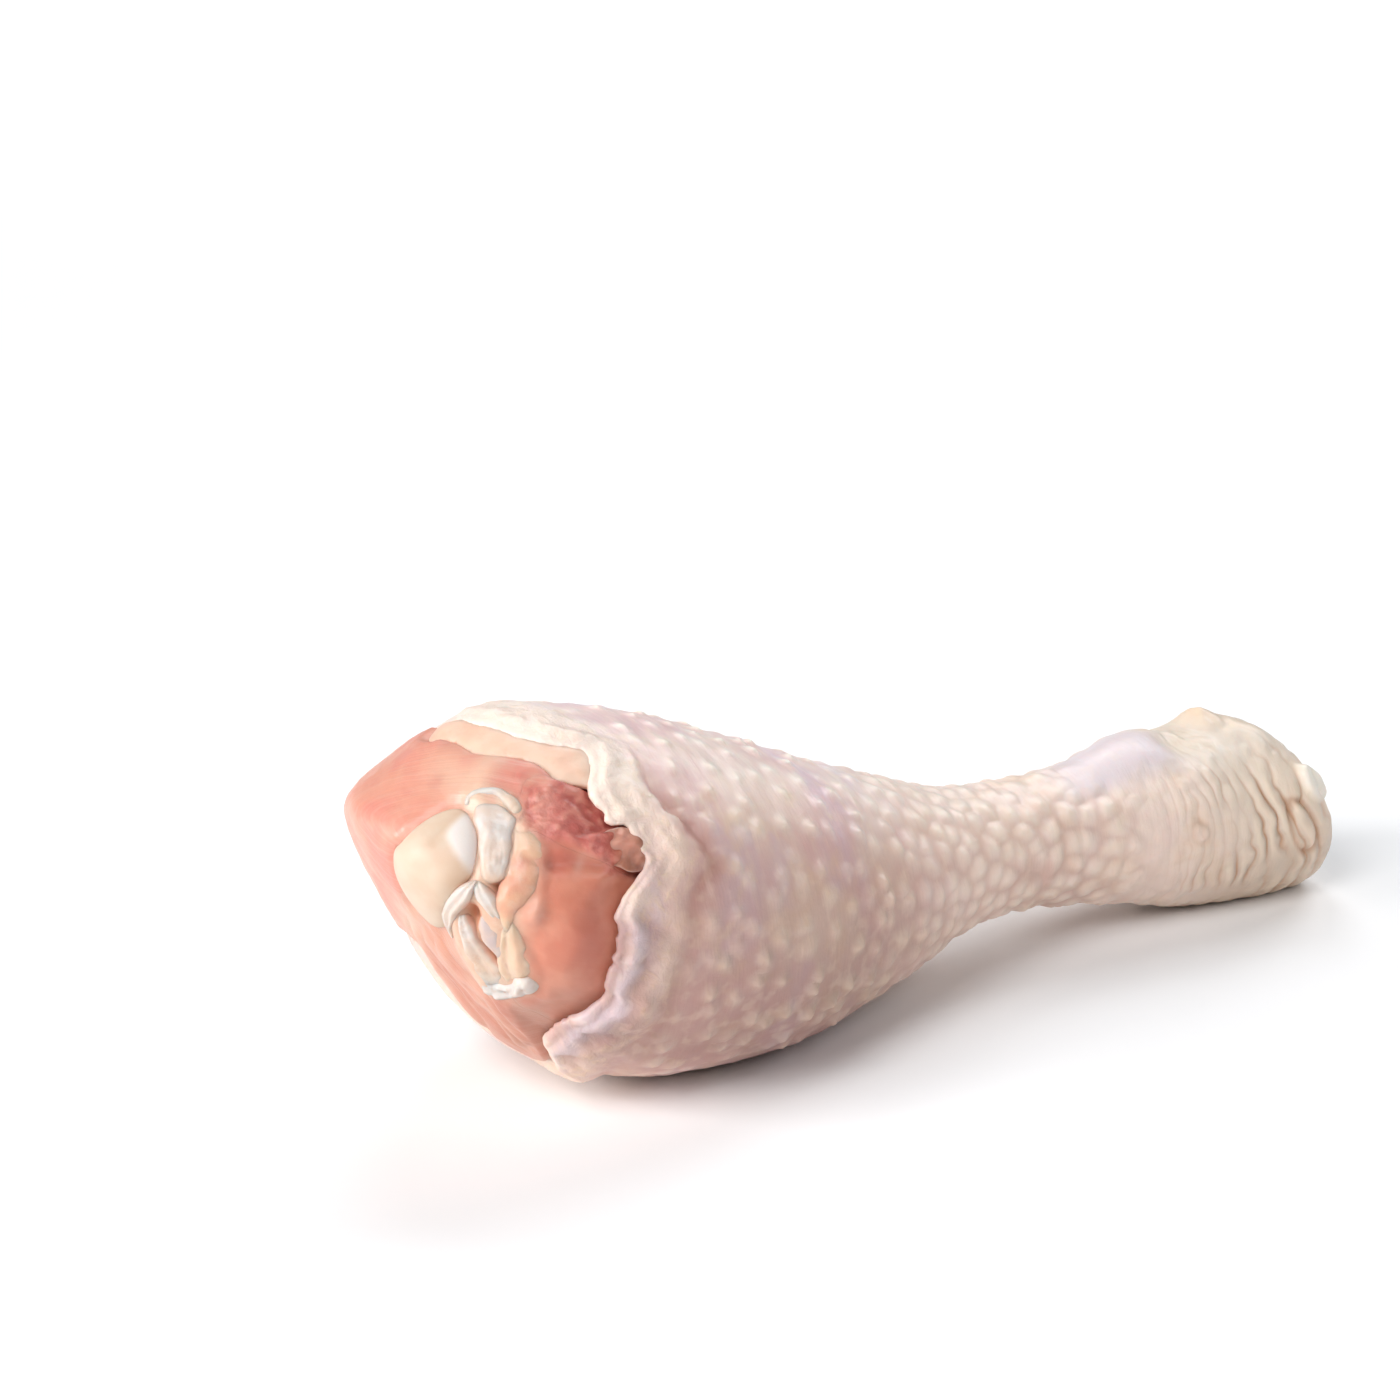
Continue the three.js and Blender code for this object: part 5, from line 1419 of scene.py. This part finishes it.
class DRUMSTICK_OT_muscles(bpy.types.Operator):
    """Build the four muscles"""

    bl_idname = "drumstick.muscles"
    bl_label = "Muscles"

    def execute(self, context):
        t = context.scene.drumstick_meat
        rows = [
            ("shin_muscle", SEAM_SHIN_RED, SEAM_UNDER_SHIN, 230, "pale_meat"),
            ("red_muscle", SEAM_RED_CALF, SEAM_SHIN_RED, 70, "red_meat"),
            ("calf_muscle", SEAM_CALF_UNDER, SEAM_RED_CALF, 150, "red_meat"),
            ("under_muscle", SEAM_UNDER_SHIN, SEAM_CALF_UNDER, 110, "pale_meat"),
        ]
        materials = {slot: flesh_material("raw_" + slot, t) for slot in ("pale_meat", "red_meat")}
        for node, seam_from, seam_to, columns, slot in rows:
            obj = add_mesh(node + "_meat", *build_muscle(seam_from, seam_to, columns))
            place_piece(obj, [node], materials[slot])
        return {"FINISHED"}


class DRUMSTICK_OT_bone(bpy.types.Operator):
    """Build the shin bone with its cartilage head"""

    bl_idname = "drumstick.bone"
    bl_label = "Shin bone"

    def execute(self, context):
        t = context.scene.drumstick_joint
        obj = add_mesh("shin_bone_head", *build_bone())
        place_piece(obj, ["shin_bone"], bone_material(t))
        return {"FINISHED"}


class DRUMSTICK_OT_joint(bpy.types.Operator):
    """Build the meniscus, the ligaments, the cartilage ring and panel, the tendon and the gristle"""

    bl_idname = "drumstick.joint"
    bl_label = "Joint pieces"

    def execute(self, context):
        t = context.scene.drumstick_joint
        white = joint_material("white_cartilage", t.white, t.ring, t.stain, 0.12, edge=t.edge)
        ligament = joint_material("ligament", t.white, t.ring, t.stain, 0.18, edge=t.edge)
        ring = joint_material("ring_cartilage", t.ring, t.white, t.stain, 0.3, edge=t.edge)
        grey = joint_material("grey_cartilage", t.grey, t.ring, t.stain, 0.2, edge=t.edge)
        tendon = joint_material("tendon", t.tendon, t.tissue, t.ring, 0.35, 0.30, third=t.cream,
                                edge=t.tissue)
        gristle = joint_material("gristle", t.gristle, t.tissue, t.marrow, 0.15, 0.26, edge=t.tissue)
        pieces = [
            ("meniscus_block", ["meniscus"], "bone_and_cartilage", white, ("meniscus_body", "meniscus_arch")),
            ("ligament_inner_band", ["ligament_inner"], "ligament", ligament, ("inner_arm",)),
            ("ligament_outer_band", ["ligament_outer"], "ligament", ligament, ("outer_arm",)),
            ("cartilage_ring_band", ["cartilage_ring"], "ligament", ring, ("ring_left", "ring_low")),
            ("cartilage_cap_panel", ["cartilage_cap"], "bone_and_cartilage", grey, ("panel",)),
            ("tendon_lobe", ["tendon"], "tendon", tendon, ("tendon_tongue", "tendon_band")),
            ("gristle_lump", ["gristle"], "gristle", gristle, ("gristle",)),
        ]
        for name, nodes, slot, material, patches in pieces:
            shape = joined(*(build_patch(**PATCHES[patch]) for patch in patches))
            place_piece(add_mesh(name, *shape), nodes, material)
        return {"FINISHED"}


class DRUMSTICK_OT_fat(bpy.types.Operator):
    """Build the fat under the top edge of the skin"""

    bl_idname = "drumstick.fat"
    bl_label = "Fat"

    def execute(self, context):
        t = context.scene.drumstick_joint
        material = joint_material("soft_fat", t.fat, t.fat_light, t.tendon, 0.25, 0.40, 0.004)
        place_piece(add_mesh("fat_pad_slab", *build_fat()), ["fat_pad"], material)
        return {"FINISHED"}



# The floor's half width in metres and its squares to a side, and the place that the camera looks at.
FLOOR_REACH, FLOOR_SQUARES = 6.0, 12
TARGET = Vector((0.01205, 0.06495, 0.0200))


def hang(name, data, place, look):
    """Puts a camera or a lamp at a place and turns it that way."""
    holder = bpy.data.objects.new(name, data)
    holder.location = place
    holder.rotation_mode = "QUATERNION"
    holder.rotation_quaternion = look.to_track_quat("-Z", "Y")
    bpy.context.scene.collection.objects.link(holder)
    return holder


class DRUMSTICK_OT_stage(bpy.types.Operator):
    """Lay the floor, hang the lights and set up the camera"""

    bl_idname = "drumstick.stage"
    bl_label = "Stage"

    def execute(self, context):
        scene, settings = context.scene, context.scene.drumstick_stage
        corners = FLOOR_SQUARES + 1
        x, y = np.meshgrid(*[np.linspace(-FLOOR_REACH, FLOOR_REACH, corners)] * 2)
        points = np.stack([x.ravel(), y.ravel(), np.zeros(x.size)], -1) / MM + TIP_TO_MIDDLE
        i, j = np.meshgrid(np.arange(FLOOR_SQUARES), np.arange(FLOOR_SQUARES), indexing="ij")
        first = (i * corners + j).ravel()
        faces = np.stack([first, first + 1, first + corners + 1, first + corners], -1)
        floor = add_mesh("floor", points, faces)
        # The floor is pale all over and glows a little more far away from the piece, where less light falls.
        s = Shader("pale_floor")
        s.colour = settings.floor
        s.lay((0.92, 0.92, 0.92), s.noise(0.5, 2), 0.04)
        away = s.add("ShaderNodeVectorMath", {"operation": "LENGTH"}, Vector=s.coords())
        glow = s.span(away.outputs["Value"], 0.30, 1.25, 0.0, 0.95)
        floor.data.materials.append(s.finish(
            0.9, Specular_IOR_Level=0.1, Emission_Color=(1.0, 1.0, 1.0), Emission_Strength=glow))

        world = bpy.data.worlds.new("studio")
        world.use_nodes = True
        sky = world.node_tree.nodes["Background"]
        sky.inputs["Color"].default_value = (1.0, 0.985, 0.99, 1)
        sky.inputs["Strength"].default_value = settings.sky
        scene.world = world
        scene.view_settings.view_transform = "Standard"

        azimuth, elevation = math.radians(settings.azimuth), math.radians(settings.elevation)
        right = Vector((math.cos(azimuth), math.sin(azimuth), 0))
        away = Vector((-math.sin(azimuth), math.cos(azimuth), 0))
        back = Vector((math.sin(azimuth) * math.cos(elevation), -math.cos(azimuth) * math.cos(elevation),
                       math.sin(elevation)))
        lens = bpy.data.cameras.new("camera")
        lens.lens = settings.lens
        lens.sensor_width = 36
        lens.clip_start, lens.clip_end = 0.01, 60
        scene.camera = hang("camera", lens, TARGET + back * settings.distance, -back)

        # Lamps: turn from straight behind the piece towards the right, height, size, power, tint.
        lamps = [
            ("left_light", -110, 20, 0.45, settings.left, (0.99, 0.99, 1.0)),
            ("front_light", -150, 45, 0.45, settings.front, (0.99, 0.99, 1.0)),
            ("fill_light", 140, 42, 0.50, settings.fill, (0.94, 0.97, 1.0)),
            ("back_light", -5, 52, 0.45, settings.back, (0.96, 0.98, 1.0)),
            ("right_light", 40, 45, 0.50, settings.right, (0.95, 0.97, 1.0)),
        ]
        for name, turn, height, size, power, tint in lamps:
            turn, height = math.radians(turn), math.radians(height)
            level = right * math.sin(turn) + away * math.cos(turn)
            place = level * math.cos(height) + Vector((0, 0, math.sin(height)))
            lamp = bpy.data.lights.new(name, "AREA")
            lamp.shape, lamp.size = "DISK", size
            lamp.energy, lamp.color = power, tint
            hang(name, lamp, place, -place)
        return {"FINISHED"}


class DRUMSTICK_PT_panel(bpy.types.Panel):
    """Lists the steps that build the drumstick"""

    bl_idname = "DRUMSTICK_PT_panel"
    bl_label = "Drumstick"
    bl_space_type = "VIEW_3D"
    bl_region_type = "UI"
    bl_category = "Drumstick"

    def draw(self, context):
        for operator in OPERATORS:
            self.layout.operator(operator.bl_idname)


OPERATORS = (
    DRUMSTICK_OT_skin,
    DRUMSTICK_OT_muscles,
    DRUMSTICK_OT_bone,
    DRUMSTICK_OT_joint,
    DRUMSTICK_OT_fat,
    DRUMSTICK_OT_stage,
)
GROUPS = {
    "drumstick_skin": DRUMSTICK_PG_skin,
    "drumstick_meat": DRUMSTICK_PG_meat,
    "drumstick_joint": DRUMSTICK_PG_joint,
    "drumstick_stage": DRUMSTICK_PG_stage,
}


def register():
    for cls in (*GROUPS.values(), *OPERATORS, DRUMSTICK_PT_panel):
        bpy.utils.register_class(cls)
    for name, group in GROUPS.items():
        setattr(bpy.types.Scene, name, PointerProperty(type=group))


def unregister():
    for name in GROUPS:
        delattr(bpy.types.Scene, name)
    for cls in reversed((*GROUPS.values(), *OPERATORS, DRUMSTICK_PT_panel)):
        bpy.utils.unregister_class(cls)


def main():
    """Builds every piece and the stage."""
    register()
    bpy.ops.drumstick.skin()
    bpy.ops.drumstick.muscles()
    bpy.ops.drumstick.bone()
    bpy.ops.drumstick.joint()
    bpy.ops.drumstick.fat()
    bpy.ops.drumstick.stage()
    bpy.context.view_layer.update()


if __name__ == "__main__":
    main()
